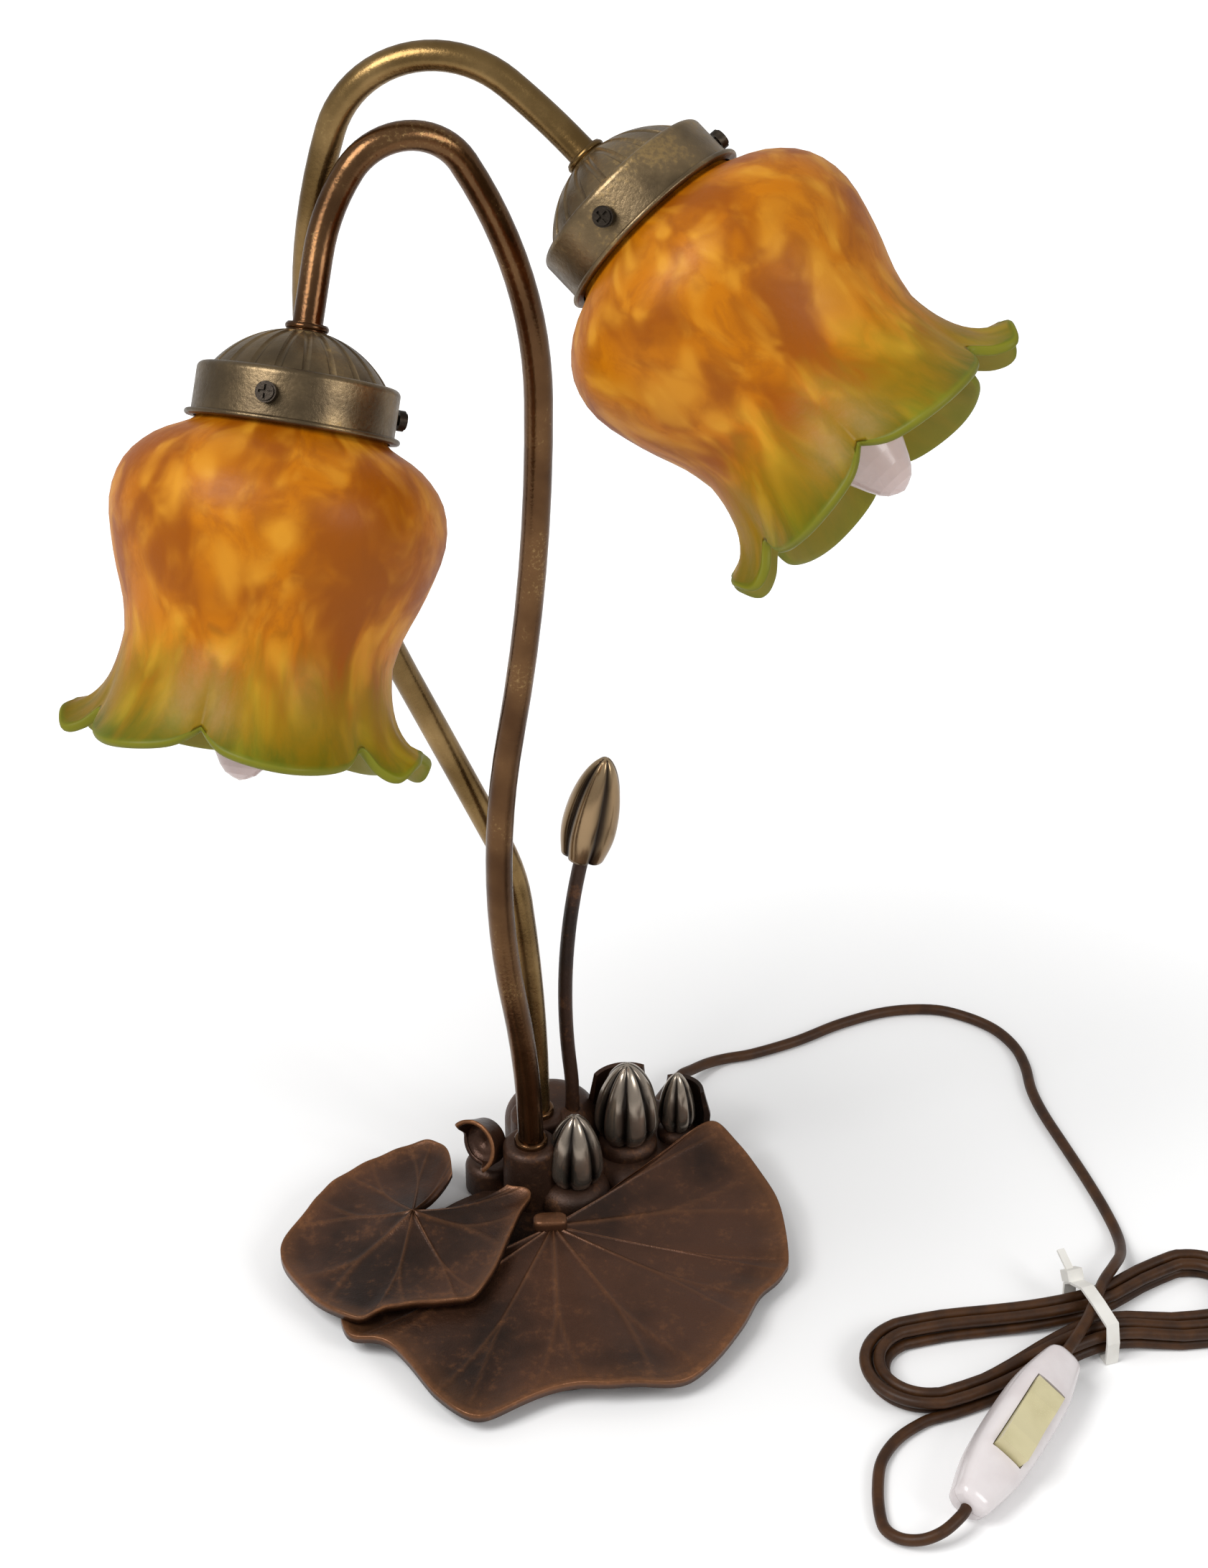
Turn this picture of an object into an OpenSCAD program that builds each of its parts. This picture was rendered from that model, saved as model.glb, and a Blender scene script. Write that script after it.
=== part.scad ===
// Two-light table lamp: ruffled tulip shades hang from two bent tubes that
// rise out of a cast lily-pad base. Millimetres, +Z up, viewer at -Y.
// Origin: middle of the foot, on the table.

/* [Arms] */
// Outside diameter of the two arm tubes
arm_od = 9; // [8.6:0.1:9.6]
// Bore of the arm tubes, which carry the leads
arm_bore = 6.6; // [6.2:0.1:7]
// Diameter of the threaded spigot on the upper end of each arm
spigot_d = 8; // [7.6:0.1:8.2]
// Height of the mound deck that both arms pass through
deck_z = 30; // [29:0.5:32]
// Thickness of the casting where the arms are clamped
deck_wall = 3; // [2.5:0.1:3.5]
// Outside diameter of the brass rings where the arms meet the base
foot_ring_d = 12; // [11.6:0.1:13.5]
// Across-flats size of the nuts under the deck
foot_nut_af = 11; // [10.6:0.2:11.2]

/* [Heads] */
// Outside diameter of the gallery band that holds each shade
band_d = 59.8; // [59.4:0.1:61]
// Height of the gallery band, without its rolled lip
band_h = 14.2; // [13:0.1:15]
// Wall of the gallery band
band_wall = 1; // [0.8:0.1:1.1]
// How far the rolled lip stands out from the band
lip_reach = 1.8; // [1.6:0.1:2.6]
// Thickness of the rolled lip
lip_t = 1.8; // [1.4:0.1:2.2]
// Diameter of the fluted cap where it sits on the gallery
cap_d = 51.5; // [50:0.5:53]
// Height of the fluted cap
cap_h = 13; // [12.5:0.1:14]
// Number of flutes round the cap
cap_flutes = 20; // [16:1:22]
// Radius of each flute
flute_r = 1.5; // [1.2:0.1:1.6]
// Diameter of the ring between tube and cap
neck_ring_d = 13; // [12.5:0.1:14]
// Thickness of the ring between tube and cap
neck_ring_t = 2.2; // [1.8:0.1:2.6]
// Diameter of the heads of the three gallery screws
screw_head_d = 6.2; // [5.8:0.1:6.6]

/* [Shades] */
// Gap between the band and the neck of the glass, on each side
glass_play = 0.9; // [0.7:0.1:1.2]
// Thickness of the glass
glass_t = 2.8; // [2.4:0.1:3.2]
// Radius of the bulge
bulge_r = 49.4; // [48:0.2:51]
// Radius of the waist above the ruffled mouth
waist_r = 39.4; // [38.5:0.2:41]
// Mean radius of the ruffled rim
rim_r = 49; // [47:0.5:50]
// How far the ears of the rim stand out beyond its mean radius
ruffle = 8; // [5:0.5:9]
// Length of the shade from the gallery lip to the notches of its rim
shade_l = 92; // [88:1:95]

/* [Lampholders and bulbs] */
// Diameter of the small screw-cap lampholder
holder_d = 27; // [25:0.5:29]
// Length of the lampholder
holder_l = 36; // [34:1:38]
// Diameter of the candle bulb
bulb_d = 35; // [33:0.5:36]
// Length of the bulb glass beyond the lampholder
bulb_l = 78; // [74:1:80]

/* [Base] */
// Radius of the round plinth under the leaves
plinth_r = 52; // [50:0.5:54]
// Height of the plinth deck above the table
plinth_z = 5.4; // [5.2:0.1:5.8]
// Wall of the hollow casting
cast_wall = 3; // [2.5:0.1:3.2]
// Thickness of the felt pad
felt_t = 1.2; // [0.8:0.1:1.6]
// Thickness of the steel closing plate
plate_t = 2; // [1.5:0.1:2.2]
// Thickness of the cast leaves
leaf_t = 2.2; // [1.8:0.1:2.4]

/* [Buds] */
// Radius of the bud in front of the arms
front_bud_r = 6; // [5.6:0.1:6.2]
// Height of the bud in front of the arms
front_bud_h = 24; // [22:0.5:26]
// Radius of the large bud behind
rear_bud_r = 10.2; // [9.5:0.1:10.8]
// Height of the large bud behind
rear_bud_h = 30; // [28:0.5:32]
// Radius of the small bud at the side
side_bud_r = 6.6; // [6:0.1:7]
// Height of the small bud at the side
side_bud_h = 23; // [21:0.5:25]
// Diameter of the rod that carries the tall bud
stem_d = 5; // [4.6:0.1:5.4]
// Radius of the tall bud
head_r = 9.6; // [9:0.1:10.4]
// Length of the tall bud
head_l = 40; // [37:0.5:42]

/* [Cord and switch] */
// Outside diameter of the cord
cord_d = 4; // [3.6:0.1:4]
// Length of the inline switch
switch_l = 76; // [74:1:78]
// Width of the inline switch
switch_w = 21; // [20:0.5:22]
// Thickness of the inline switch
switch_h = 17; // [16:0.5:18]
// Length of the rocker
rocker_l = 33; // [31:0.5:34]
// Width of the rocker
rocker_w = 11.4; // [10.5:0.1:12]
// Thickness of the flat plug
plug_h = 13.6; // [13.2:0.1:14]
// Number of times the put-away cord goes round the hank
hank_loops = 4; // [3:1:4]

/* [Clearances] */
// Radial clearance of tubes, rods and threads in their holes
hole_gap = 0.15; // [0.1:0.05:0.3]
// Clearance of the glass neck in the gallery
glass_gap = 0.9; // [0.6:0.1:1.1]
// Clearance between stacked castings
seat_gap = 0.2; // [0.1:0.05:0.3]
// Clearance along the sides of the rocker
rocker_gap = 0.4; // [0.3:0.05:0.6]
// Clearance at the swinging ends of the rocker
rocker_end_gap = 0.8; // [0.7:0.05:1]

/* [Hidden] */
$fn = 64;

bronze = [0.24, 0.16, 0.11];
antique = [0.50, 0.38, 0.20];
dark_bronze = [0.30, 0.26, 0.20];
opal = [0.80, 0.74, 0.72];
amber = [0.80, 0.45, 0.10];
flex = [0.20, 0.12, 0.07];
steel = [0.62, 0.62, 0.64];
white = [0.86, 0.84, 0.84];
cream = [0.82, 0.78, 0.62];

// ---- curves ----

// Point on a smooth curve through b and c, with a and d as its neighbours
function blend_point(a, b, c, d, t) =
  0.5 * (2 * b + (c - a) * t + (2 * a - 5 * b + 4 * c - d) * t * t
  + (3 * b - a - 3 * c + d) * t * t * t);

// Open curve through the points p, with n steps between neighbours
function open_curve(p, n) = [
  for (i = [0:len(p) - 2], k = [0:n - 1])
    blend_point(p[max(i - 1, 0)], p[i], p[i + 1], p[min(i + 2, len(p) - 1)], k / n),
  p[len(p) - 1]];

function unit(v) = v / norm(v);

// Rings of a tube of radius r and s sides along the points p
function tube_rings(p, r, s) = [
  for (i = [0:len(p) - 1])
    let (t = unit(p[min(i + 1, len(p) - 1)] - p[max(i - 1, 0)]),
      side = unit(cross(t, [0, 0, 1])), up = cross(side, t))
    [for (k = [0:s - 1]) p[i] + r * (cos(360 * (k + 0.5) / s) * side
      + sin(360 * (k + 0.5) / s) * up)]];

// Closed solid from rings of s points each, with flat ends
module ring_solid(rings, s) {
  n = len(rings);
  polyhedron(
    points = [for (ring = rings, q = ring) q],
    faces = concat(
      [for (i = [0:n - 2], k = [0:s - 1])
        [i * s + k, i * s + (k + 1) % s, (i + 1) * s + k]],
      [for (i = [0:n - 2], k = [0:s - 1])
        [i * s + (k + 1) % s, (i + 1) * s + (k + 1) % s, (i + 1) * s + k]],
      [[for (k = [s - 1:-1:0]) k]],
      [[for (k = [0:s - 1]) (n - 1) * s + k]]));
}

module swept_tube(points, d, s) {
  ring_solid(tube_rings(points, d / 2, s), s);
}

// ---- arms ----

// Each arm is bent from straight tube: [roll about the tube, bend radius, angle].
left_foot = [-1, 27];
left_bends = [[-158, 400, 9.5], [168, 350, 18.5], [180, 750, 9.5],
  [-3, 165, 29.5], [13, 20.5, 114], [55, 54, 28]];
left_straight = 20;
right_foot = [1, 44];
right_bends = [[-139, 700, 8], [-46, 96, 16.5], [112, 610, 7.5], [95, 360, 22.5],
  [-2, 190, 18], [-29, 33, 112], [-88, 83, 19]];
right_straight = 2;
// The arms leave the deck upright and end this far above the plate
bend_start_z = deck_z - 2;
arm_bottom_z = 14;
spigot_l = 24;
bend_steps = 8;
// Every other bend is thicker by this step, inside and outside, and runs into the next one
draw_step = 0.04;
bend_lap = 0.1;

// Section od/id swept along the bends and the last straight; children go to its end
module bent(bends, straight, od, id, i = 0) {
  grow = i % 2 * draw_step;
  if (i < len(bends)) {
    roll = bends[i][0];
    r = bends[i][1];
    angle = bends[i][2];
    rotate([0, 0, roll]) {
      if (od > 0)
        translate([r, 0, 0]) rotate([90, 0, 180])
          rotate_extrude(angle = angle + bend_lap / r * 180 / PI,
            $fn = max(48, ceil(360 * bend_steps / angle)))
            translate([r, 0]) wall_section(od + grow, id > 0 ? id - grow : 0);
      translate([r * (1 - cos(angle)), 0, r * sin(angle)]) rotate([0, angle, 0])
        bent(bends, straight, od, id, i + 1) children();
    }
  } else {
    if (od > 0) linear_extrude(straight) wall_section(od + grow, id > 0 ? id - grow : 0);
    translate([0, 0, straight]) children();
  }
}

module wall_section(od, id) {
  difference() {
    circle(d = od, $fn = 48);
    if (id > 0) circle(d = id, $fn = 48);
  }
}

module arm(foot, bends, straight) {
  color(antique) {
    translate([foot[0], foot[1], arm_bottom_z])
      linear_extrude(bend_start_z - arm_bottom_z + bend_lap)
        wall_section(arm_od + draw_step, arm_bore - draw_step);
    translate([foot[0], foot[1], bend_start_z])
      bent(bends, straight, arm_od, arm_bore)
        translate([0, 0, -bend_lap]) linear_extrude(spigot_l + bend_lap)
          wall_section(spigot_d, arm_bore + draw_step);
  }
}

// Frame at the shoulder of an arm, with +Z pointing to the mouth of the shade
module at_left_head() {
  translate([left_foot[0], left_foot[1], bend_start_z])
    bent(left_bends, left_straight, 0, 0) children();
}

module at_right_head() {
  translate([right_foot[0], right_foot[1], bend_start_z])
    bent(right_bends, right_straight, 0, 0) children();
}

left_screw_turn = 73;
right_screw_turn = -6;
left_shade_turn = -19;
right_shade_turn = 66;

module left_arm() {
  arm(left_foot, left_bends, left_straight);
}

module right_arm() {
  arm(right_foot, right_bends, right_straight);
}

// ---- fixings of the arms in the base ----

ring_h = 2.2;
washer_t = 1.2;
washer_d = 12;
foot_nut_h = 4.8;
feet = [left_foot, right_foot];

module pierced_disc(d, h, bore) {
  difference() {
    cylinder(d = d, h = h);
    translate([0, 0, -1]) cylinder(d = bore, h = h + 2);
  }
}

module hex_nut(af, h, bore) {
  difference() {
    intersection() {
      cylinder(d = af / cos(30), h = h, $fn = 6);
      cylinder(d = af * 1.1, h = h);
    }
    translate([0, 0, -1]) cylinder(d = bore, h = h + 2);
  }
}

module foot_rings() {
  color(antique) for (f = feet) translate([f[0], f[1], deck_z]) difference() {
    union() {
      cylinder(d = foot_ring_d, h = ring_h / 2);
      translate([0, 0, ring_h / 2])
        rotate_extrude() translate([foot_ring_d / 2 - ring_h / 2, 0])
          circle(d = ring_h, $fn = 24);
      cylinder(d = foot_ring_d - ring_h, h = ring_h);
    }
    translate([0, 0, -1]) cylinder(d = arm_od + 2 * hole_gap, h = ring_h + 2);
  }
}

module foot_washers() {
  color(steel) for (f = feet)
    translate([f[0], f[1], deck_z - deck_wall - washer_t])
      pierced_disc(washer_d, washer_t, arm_od + 2 * hole_gap);
}

module foot_nuts() {
  color(steel) for (f = feet)
    translate([f[0], f[1], deck_z - deck_wall - washer_t - foot_nut_h])
      hex_nut(foot_nut_af, foot_nut_h, arm_od + 2 * hole_gap);
}

// ---- leads inside the arms ----

lead_d = 5;
block_x = 9;
block_size = [11.5, 24, 5.2];
block_y = 24;
block_z = felt_t + plate_t + 0.4;
lead_z = block_z + block_size[2] / 2;
elbow_r = 6;

module lead(foot, bends, straight) {
  color(flex) {
    translate([foot[0], foot[1], lead_z + elbow_r - bend_lap])
      linear_extrude(bend_start_z - lead_z - elbow_r + 2 * bend_lap)
        circle(d = lead_d + draw_step, $fn = 32);
    translate([foot[0] + elbow_r, foot[1], lead_z + elbow_r]) rotate([90, 0, 180])
      rotate_extrude(angle = -90, $fn = 48) translate([elbow_r, 0])
        circle(d = lead_d, $fn = 32);
    translate([foot[0] + elbow_r - bend_lap, foot[1], lead_z]) rotate([0, 90, 0])
      cylinder(d = lead_d + draw_step, h = block_x - foot[0] - elbow_r + bend_lap, $fn = 32);
    translate([foot[0], foot[1], bend_start_z])
      bent(bends, straight, lead_d, 0)
        translate([0, 0, -bend_lap])
          cylinder(d = lead_d - draw_step, h = spigot_l + 0.5 + bend_lap, $fn = 32);
  }
}

module left_lead() {
  lead(left_foot, left_bends, left_straight);
}

module right_lead() {
  lead(right_foot, right_bends, right_straight);
}

module terminal_block() {
  color(cream) difference() {
    translate([block_x, block_y, block_z]) cube(block_size);
    for (y = [0:3])
      translate([block_x + 3.5, block_y + 3 + 6 * y, block_z + block_size[2] - 3])
        cylinder(d = 3, h = 4, $fn = 24);
    for (y = [0:3])
      translate([block_x + 8.5, block_y + 3 + 6 * y, block_z + block_size[2] - 3])
        cylinder(d = 3, h = 4, $fn = 24);
  }
}

// ---- base ----

plinth_at = [4, -18];
// Rounded drums that build the mound: [x, y, radius, height, corner radius]
mound = [[6, 52, 17, deck_z, 10], [36, 50, 23, 13, 9], [33, 46, 11, 18, 4],
  [-1.3, 27, 9.7, deck_z, 2.4], [1, 44, 9.6, deck_z, 2], [12, 38, 13.5, 13, 3], [14, 26, 13, 14, 6],
  [51, 52, 11.5, 13, 3], [51, 52, 7, 17, 3], [-16, 38, 9, 13, 3], [40.1, 63.3, 9.5, 14.5, 3]];
// Posts that carry the middles of the two open leaves: [x, y, height]
posts = [[7, 0, 11.5], [-40, 0, 16.7]];
post_r = 4.2;
post_round = 4;
rear_bud_at = [33, 46];
front_bud_at = [14.5, 26.5];
side_bud_at = [51, 52];
stem_at = [13.5, 47];
stem_base_z = 29;

// Upright drum whose upper edge is rounded with radius c
module rounded_drum(r, h, c) {
  rotate_extrude() {
    square([r - c, h]);
    square([r, h - c]);
    translate([r - c, h - c]) intersection() {
      circle(r = c, $fn = 48);
      square(c);
    }
  }
}

module mound_shape(inset, bottom) {
  for (m = mound) translate([m[0], m[1], bottom])
    rounded_drum(m[2] - inset, m[3] - inset - bottom, m[4] > inset ? m[4] - inset : 0.2);
  translate([plinth_at[0], plinth_at[1], bottom])
    cylinder(r = plinth_r - inset, h = plinth_z - inset * 0.6 - bottom);
}

// Petals that stand behind the buds: [x, y, inner radius, foot, top, first angle, sweep]
hoods = [[33, 46, 13, 9, 40, 63, 87], [51, 52, 9, 9, 33, -5, 115]];
hood_t = 2.2;
small_leaf_at = [-42, 1, 20];
knot_at = [7, 0, 14];
plate_screw_at = [[-30, -40], [40, -42], [2, 64]];
gland_from = [44, 72];
gland_aim = 66;
gland_z = 7;

module base_casting() {
  color(bronze) difference() {
    union() {
      difference() {
        mound_shape(0, felt_t);
        mound_shape(cast_wall, felt_t - 1);
      }
      for (h = hoods) translate([h[0], h[1], h[3]]) rotate([0, 0, h[5]])
        rotate_extrude(angle = h[6]) let (top = h[4] - h[3])
          polygon([[h[2], 0], [h[2] + hood_t, 0], [h[2] + hood_t + 1, top * 0.55],
            [h[2] + 0.6, top], [h[2] - 0.6, top - 0.6], [h[2] + 1, top * 0.55]]);
      for (p = posts) translate([p[0], p[1], plinth_z - 1])
        rounded_drum(post_r, p[2] - plinth_z + 1, post_round);
      for (p = plate_screw_at) translate([p[0], p[1], felt_t + plate_t + seat_gap])
        cylinder(r = 4, h = plinth_z - felt_t - plate_t - seat_gap - 1);
    }
    for (f = feet) translate([f[0], f[1], deck_z - 20])
      cylinder(d = arm_od + 2 * hole_gap, h = 40);
    translate([stem_at[0], stem_at[1], stem_base_z - 20])
      cylinder(d = stem_d + 2 * hole_gap, h = 40);
    for (p = plate_screw_at) translate([p[0], p[1], felt_t - 1])
      cylinder(d = screw_core, h = felt_t + plate_t + 1.5);
    translate([gland_from[0], gland_from[1], gland_z]) rotate([0, 90, gland_aim])
      translate([0, 0, -12]) cylinder(d = gland_waist + 2 * hole_gap, h = 24);
    for (b = [[front_bud_at, 14], [rear_bud_at, 18], [side_bud_at, 17]])
      translate([b[0][0], b[0][1], b[1] - 8]) cylinder(d = bud_pin_d + 2 * hole_gap, h = 12);
  }
}

screw_core = 2.6;
gland_waist = 6.6;
bud_pin_d = 3;
bud_pin_l = 5;

// The felt and the plate follow the drums that are wider than this radius
wide_drum = 10;

module felt_pad() {
  color([0.10, 0.09, 0.08]) {
    linear_extrude(felt_t - 0.02) {
      translate(plinth_at) circle(r = plinth_r - 1.5);
      for (m = mound) if (m[2] > wide_drum) translate([m[0], m[1]]) circle(r = m[2] - 1.5);
    }
  }
}

module base_plate() {
  color(steel) difference() {
    translate([0, 0, felt_t]) linear_extrude(plate_t) {
      translate(plinth_at) circle(r = plinth_r - cast_wall - 0.3);
      for (m = mound) if (m[2] > wide_drum)
        translate([m[0], m[1]]) circle(r = m[2] - cast_wall - 0.3);
    }
    for (p = plate_screw_at) translate([p[0], p[1], felt_t - 1])
      cylinder(d = 3.4, h = plate_t + 2);
  }
}

module plate_screws() {
  color(steel) for (p = plate_screw_at) translate([p[0], p[1], felt_t + 0.05]) {
    cylinder(d = screw_core - 0.1, h = plate_t + 1.6);
  }
}

// ---- leaves ----

// Outlines are walked round the leaf: [x, y, height of the rim]
large_leaf_rim = [[27, 18.8, 13], [47, 36.5, 17], [63, 47, 21.5], [74, 38, 17], [86, 15, 12.5],
  [89, -10, 10], [87, -19, 8.5], [78, -31, 8], [71, -48, 9], [54, -71, 8], [30, -76, 10.5],
  [8, -77, 9], [-16, -89, 7.5], [-31, -79, 8], [-47, -56, 9], [-62, -50, 8.2], [-66, -36, 8.2]];
small_leaf_rim = [[-29, 23, 17.5], [-31, 35, 18], [-38, 42, 17], [-49, 39.5, 15],
  [-61, 32, 14.5], [-72, 22, 14], [-79, 11, 12.5], [-88, -9, 9.5], [-77, -32, 10.5],
  [-60, -46, 12], [-48, -42, 13.5], [-32, -39.5, 13.5], [-20, -37.5, 14], [-12.5, -25, 16.5],
  [-5.5, -1, 17.5], [-1, 11.5, 18.5], [-9, 15.5, 18.5]];

// Height of a leaf between its middle (t = 0) and its rim (t = 1)
function dish(mid, rim, sag, t) =
  mid + (rim - mid) * t - sag * sin(180 * min(1, t * 1.04)) + 1.4 * pow(t, 12);

// Cast leaf: the sheet runs from its middle to a wavy rim, and is open at the slit
module leaf_sheet(mid, rim, sag, steps, rows) {
  edge = open_curve(rim, steps);
  n = len(edge);
  top = [for (j = [1:rows], e = edge) let (t = 1 - pow(1 - j / rows, 1.5))
    [mid[0] + (e[0] - mid[0]) * t, mid[1] + (e[1] - mid[1]) * t,
      dish(mid[2], e[2], sag, t)]];
  below = [for (q = top) q - [0, 0, leaf_t]];
  m = n * rows;
  // numbering: middle, top grid, lower middle, lower grid
  polyhedron(
    points = concat([mid], top, [mid - [0, 0, leaf_t]], below),
    faces = concat(
      [for (i = [0:n - 2]) [0, 1 + i, 2 + i]],
      [for (j = [0:rows - 2], i = [0:n - 2])
        [1 + j * n + i, 1 + (j + 1) * n + i, 2 + (j + 1) * n + i]],
      [for (j = [0:rows - 2], i = [0:n - 2])
        [1 + j * n + i, 2 + (j + 1) * n + i, 2 + j * n + i]],
      [for (i = [0:n - 2]) [m + 1, m + 3 + i, m + 2 + i]],
      [for (j = [0:rows - 2], i = [0:n - 2])
        [m + 2 + j * n + i, m + 3 + (j + 1) * n + i, m + 2 + (j + 1) * n + i]],
      [for (j = [0:rows - 2], i = [0:n - 2])
        [m + 2 + j * n + i, m + 3 + j * n + i, m + 3 + (j + 1) * n + i]],
      [for (i = [0:n - 2]) let (a = 1 + (rows - 1) * n + i)
        [a, a + m + 1, a + m + 2]],
      [for (i = [0:n - 2]) let (a = 1 + (rows - 1) * n + i) [a, a + m + 2, a + 1]],
      [for (j = [0:rows - 1]) let (a = j == 0 ? 0 : 1 + (j - 1) * n, b = 1 + j * n)
        [a, a + m + 1, b]],
      [for (j = [0:rows - 1]) let (a = j == 0 ? 0 : 1 + (j - 1) * n, b = 1 + j * n)
        [b, a + m + 1, b + m + 1]],
      [for (j = [0:rows - 1]) let (a = j == 0 ? 0 : j * n, b = (j + 1) * n)
        [a, b, a + m + 1]],
      [for (j = [0:rows - 1]) let (a = j == 0 ? 0 : j * n, b = (j + 1) * n)
        [b, b + m + 1, a + m + 1]]));
}

module large_leaf() {
  color(bronze) leaf_sheet(knot_at, large_leaf_rim, 1.4, 3, 6);
}

module small_leaf() {
  color(bronze) leaf_sheet(small_leaf_at, small_leaf_rim, 2.5, 2, 6);
}

module rolled_leaf() {
  color(bronze) {
    translate([-17.2, 36.4, 22.4]) rotate([70, 0, -35]) rotate([0, 0, 80])
      rotate_extrude(angle = 240, $fn = 48)
        polygon([[7, 0], [8.8, 0], [10.2, 10], [8.8, 10]]);
    translate([-18.4, 34.8, 13 + seat_gap]) cylinder(r = 3.6, h = 2.6);
  }
}

// ---- buds ----

// Radius of a pointed bud at height t of 1, relative to its widest
function bud_swell(t, low) = t < low ? 0.80 + 0.20 * sin(90 * t / low)
  : pow(max(0, 1 - pow((t - low) / (1 - low), 2)), 0.62);

// Petals stand proud between grooves
function petal(a, petals) = 1 - 0.10 * pow(1 - abs(sin(petals * a / 2)), 2);

module bud(r, h, petals, low) {
  side = petals * 6;
  rows = 7;
  ring_solid([for (j = [0:rows])
    let (t = 0.985 * (1 - pow(1 - j / rows, 1.35)))
    [for (k = [0:side - 1]) let (a = 360 * k / side, q = r * bud_swell(t, low) * petal(a, petals))
      [q * cos(-a), q * sin(-a), h * t]]], side);
}

module standing_bud(at, z, r, h) {
  color(bronze) translate([at[0], at[1], z + seat_gap]) {
    bud(r, h, 8, 0.12);
    translate([0, 0, -bud_pin_l]) cylinder(d = bud_pin_d, h = bud_pin_l + 1);
  }
}

module front_bud() {
  standing_bud(front_bud_at, 14, front_bud_r, front_bud_h);
}

module rear_bud() {
  standing_bud(rear_bud_at, 18, rear_bud_r, rear_bud_h);
}

module side_bud() {
  standing_bud(side_bud_at, 17, side_bud_r, side_bud_h);
}

// Tall bud: the rod is bent like the arms, then carries the bud on its end
stem_bends = [[180, 120, 6], [180, 300, 17.5]];
stem_straight = 2;

module at_stem_end() {
  translate([stem_at[0], stem_at[1], stem_base_z + 6])
    bent(stem_bends, stem_straight, 0, 0) children();
}

module bud_stem() {
  color(bronze) {
    translate([stem_at[0], stem_at[1], stem_base_z - 12])
      cylinder(d = stem_d + draw_step, h = 18 + bend_lap);
    translate([stem_at[0], stem_at[1], stem_base_z + 6])
      bent(stem_bends, stem_straight, stem_d, 0);
  }
}

module bud_head() {
  color(bronze) at_stem_end() bud(head_r, head_l, 5, 0.3);
}

module stem_nut() {
  color(steel) translate([stem_at[0], stem_at[1], stem_base_z - 11])
    hex_nut(8, 4, stem_d + 2 * hole_gap);
}

// ---- heads: everything is stacked along +Z from the shoulder of the arm ----

cap_wall = 1.3;
cap_seat_r = 5.5;
cap_top = neck_ring_t;
cap_foot = cap_top + cap_h;
// Sphere through the cap's upper seat and its foot
cap_drop = (pow(cap_d / 2, 2) - pow(cap_seat_r, 2) - cap_h * cap_h) / (2 * cap_h);
cap_sphere_r = norm([cap_d / 2, cap_drop]);
flute_depth = 0.6;
floor_z = cap_foot;
band_corner = 2;
lip_z = floor_z + band_h;
head_nut_h = 3;
head_nut_z = floor_z + band_wall;
holder_z = head_nut_z + head_nut_h + seat_gap;
holder_wall = 2.2;
bulb_z = holder_z + holder_l + 1;
cap_shell_d = 13.8;
screw_z = floor_z + band_h * 0.56;
screw_d = 3;
screw_head_h = 2.6;
// From the glass neck to the underside of a screw head
lip_d = band_d + 2 * lip_reach;
glass_neck_d = band_d - 2 * band_wall - 2 * glass_play;
screw_stand = band_d / 2 - glass_neck_d / 2 + 1;

module neck_ring() {
  color(antique) difference() {
    union() {
      cylinder(d = neck_ring_d - 1, h = neck_ring_t);
      rotate_extrude() translate([neck_ring_d / 2 - neck_ring_t / 2, neck_ring_t / 2])
        circle(d = neck_ring_t, $fn = 24);
    }
    translate([0, 0, -1]) cylinder(d = spigot_d + 2 * hole_gap, h = neck_ring_t + 2);
  }
}

module fluted_cap() {
  color(dark_bronze) difference() {
    intersection() {
      translate([0, 0, cap_foot + cap_drop]) sphere(r = cap_sphere_r, $fn = 96);
      translate([0, 0, cap_top]) cylinder(r = cap_d, h = cap_h);
    }
    translate([0, 0, cap_foot + cap_drop]) sphere(r = cap_sphere_r - cap_wall, $fn = 96);
    translate([0, 0, -1]) cylinder(d = spigot_d + 2 * hole_gap, h = cap_top + cap_h);
    for (i = [0:cap_flutes - 1]) rotate([0, 0, 360 * i / cap_flutes])
      translate([0, 0, cap_foot + cap_drop]) rotate([90, 0, 0]) rotate([0, 0, -76])
        rotate_extrude(angle = 60, $fn = 96)
          translate([cap_sphere_r + flute_r - flute_depth, 0]) circle(r = flute_r, $fn = 16);
  }
}

module gallery(turn) {
  color(dark_bronze) difference() {
    rotate_extrude($fn = 96) {
      translate([0, floor_z]) square([band_d / 2 - band_corner, band_wall]);
      translate([band_d / 2 - band_corner, floor_z + band_corner]) intersection() {
        difference() {
          circle(r = band_corner, $fn = 32);
          circle(r = band_corner - band_wall, $fn = 32);
        }
        translate([0, -band_corner]) square(band_corner);
      }
      translate([band_d / 2 - band_wall, floor_z + band_corner])
        square([band_wall, band_h - band_corner + lip_t / 2]);
      translate([band_d / 2 - band_wall, lip_z])
        square([(lip_d - band_d) / 2 + band_wall - lip_t / 2, lip_t]);
      translate([lip_d / 2 - lip_t / 2, lip_z + lip_t / 2]) circle(d = lip_t, $fn = 24);
    }
    translate([0, 0, floor_z - 1]) cylinder(d = spigot_d + 2 * hole_gap, h = 4);
    for (i = [0:2]) rotate([0, 0, turn + 120 * i]) translate([0, 0, screw_z])
      rotate([0, 90, 0]) cylinder(d = screw_d + 2 * hole_gap, h = band_d);
  }
}

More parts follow.
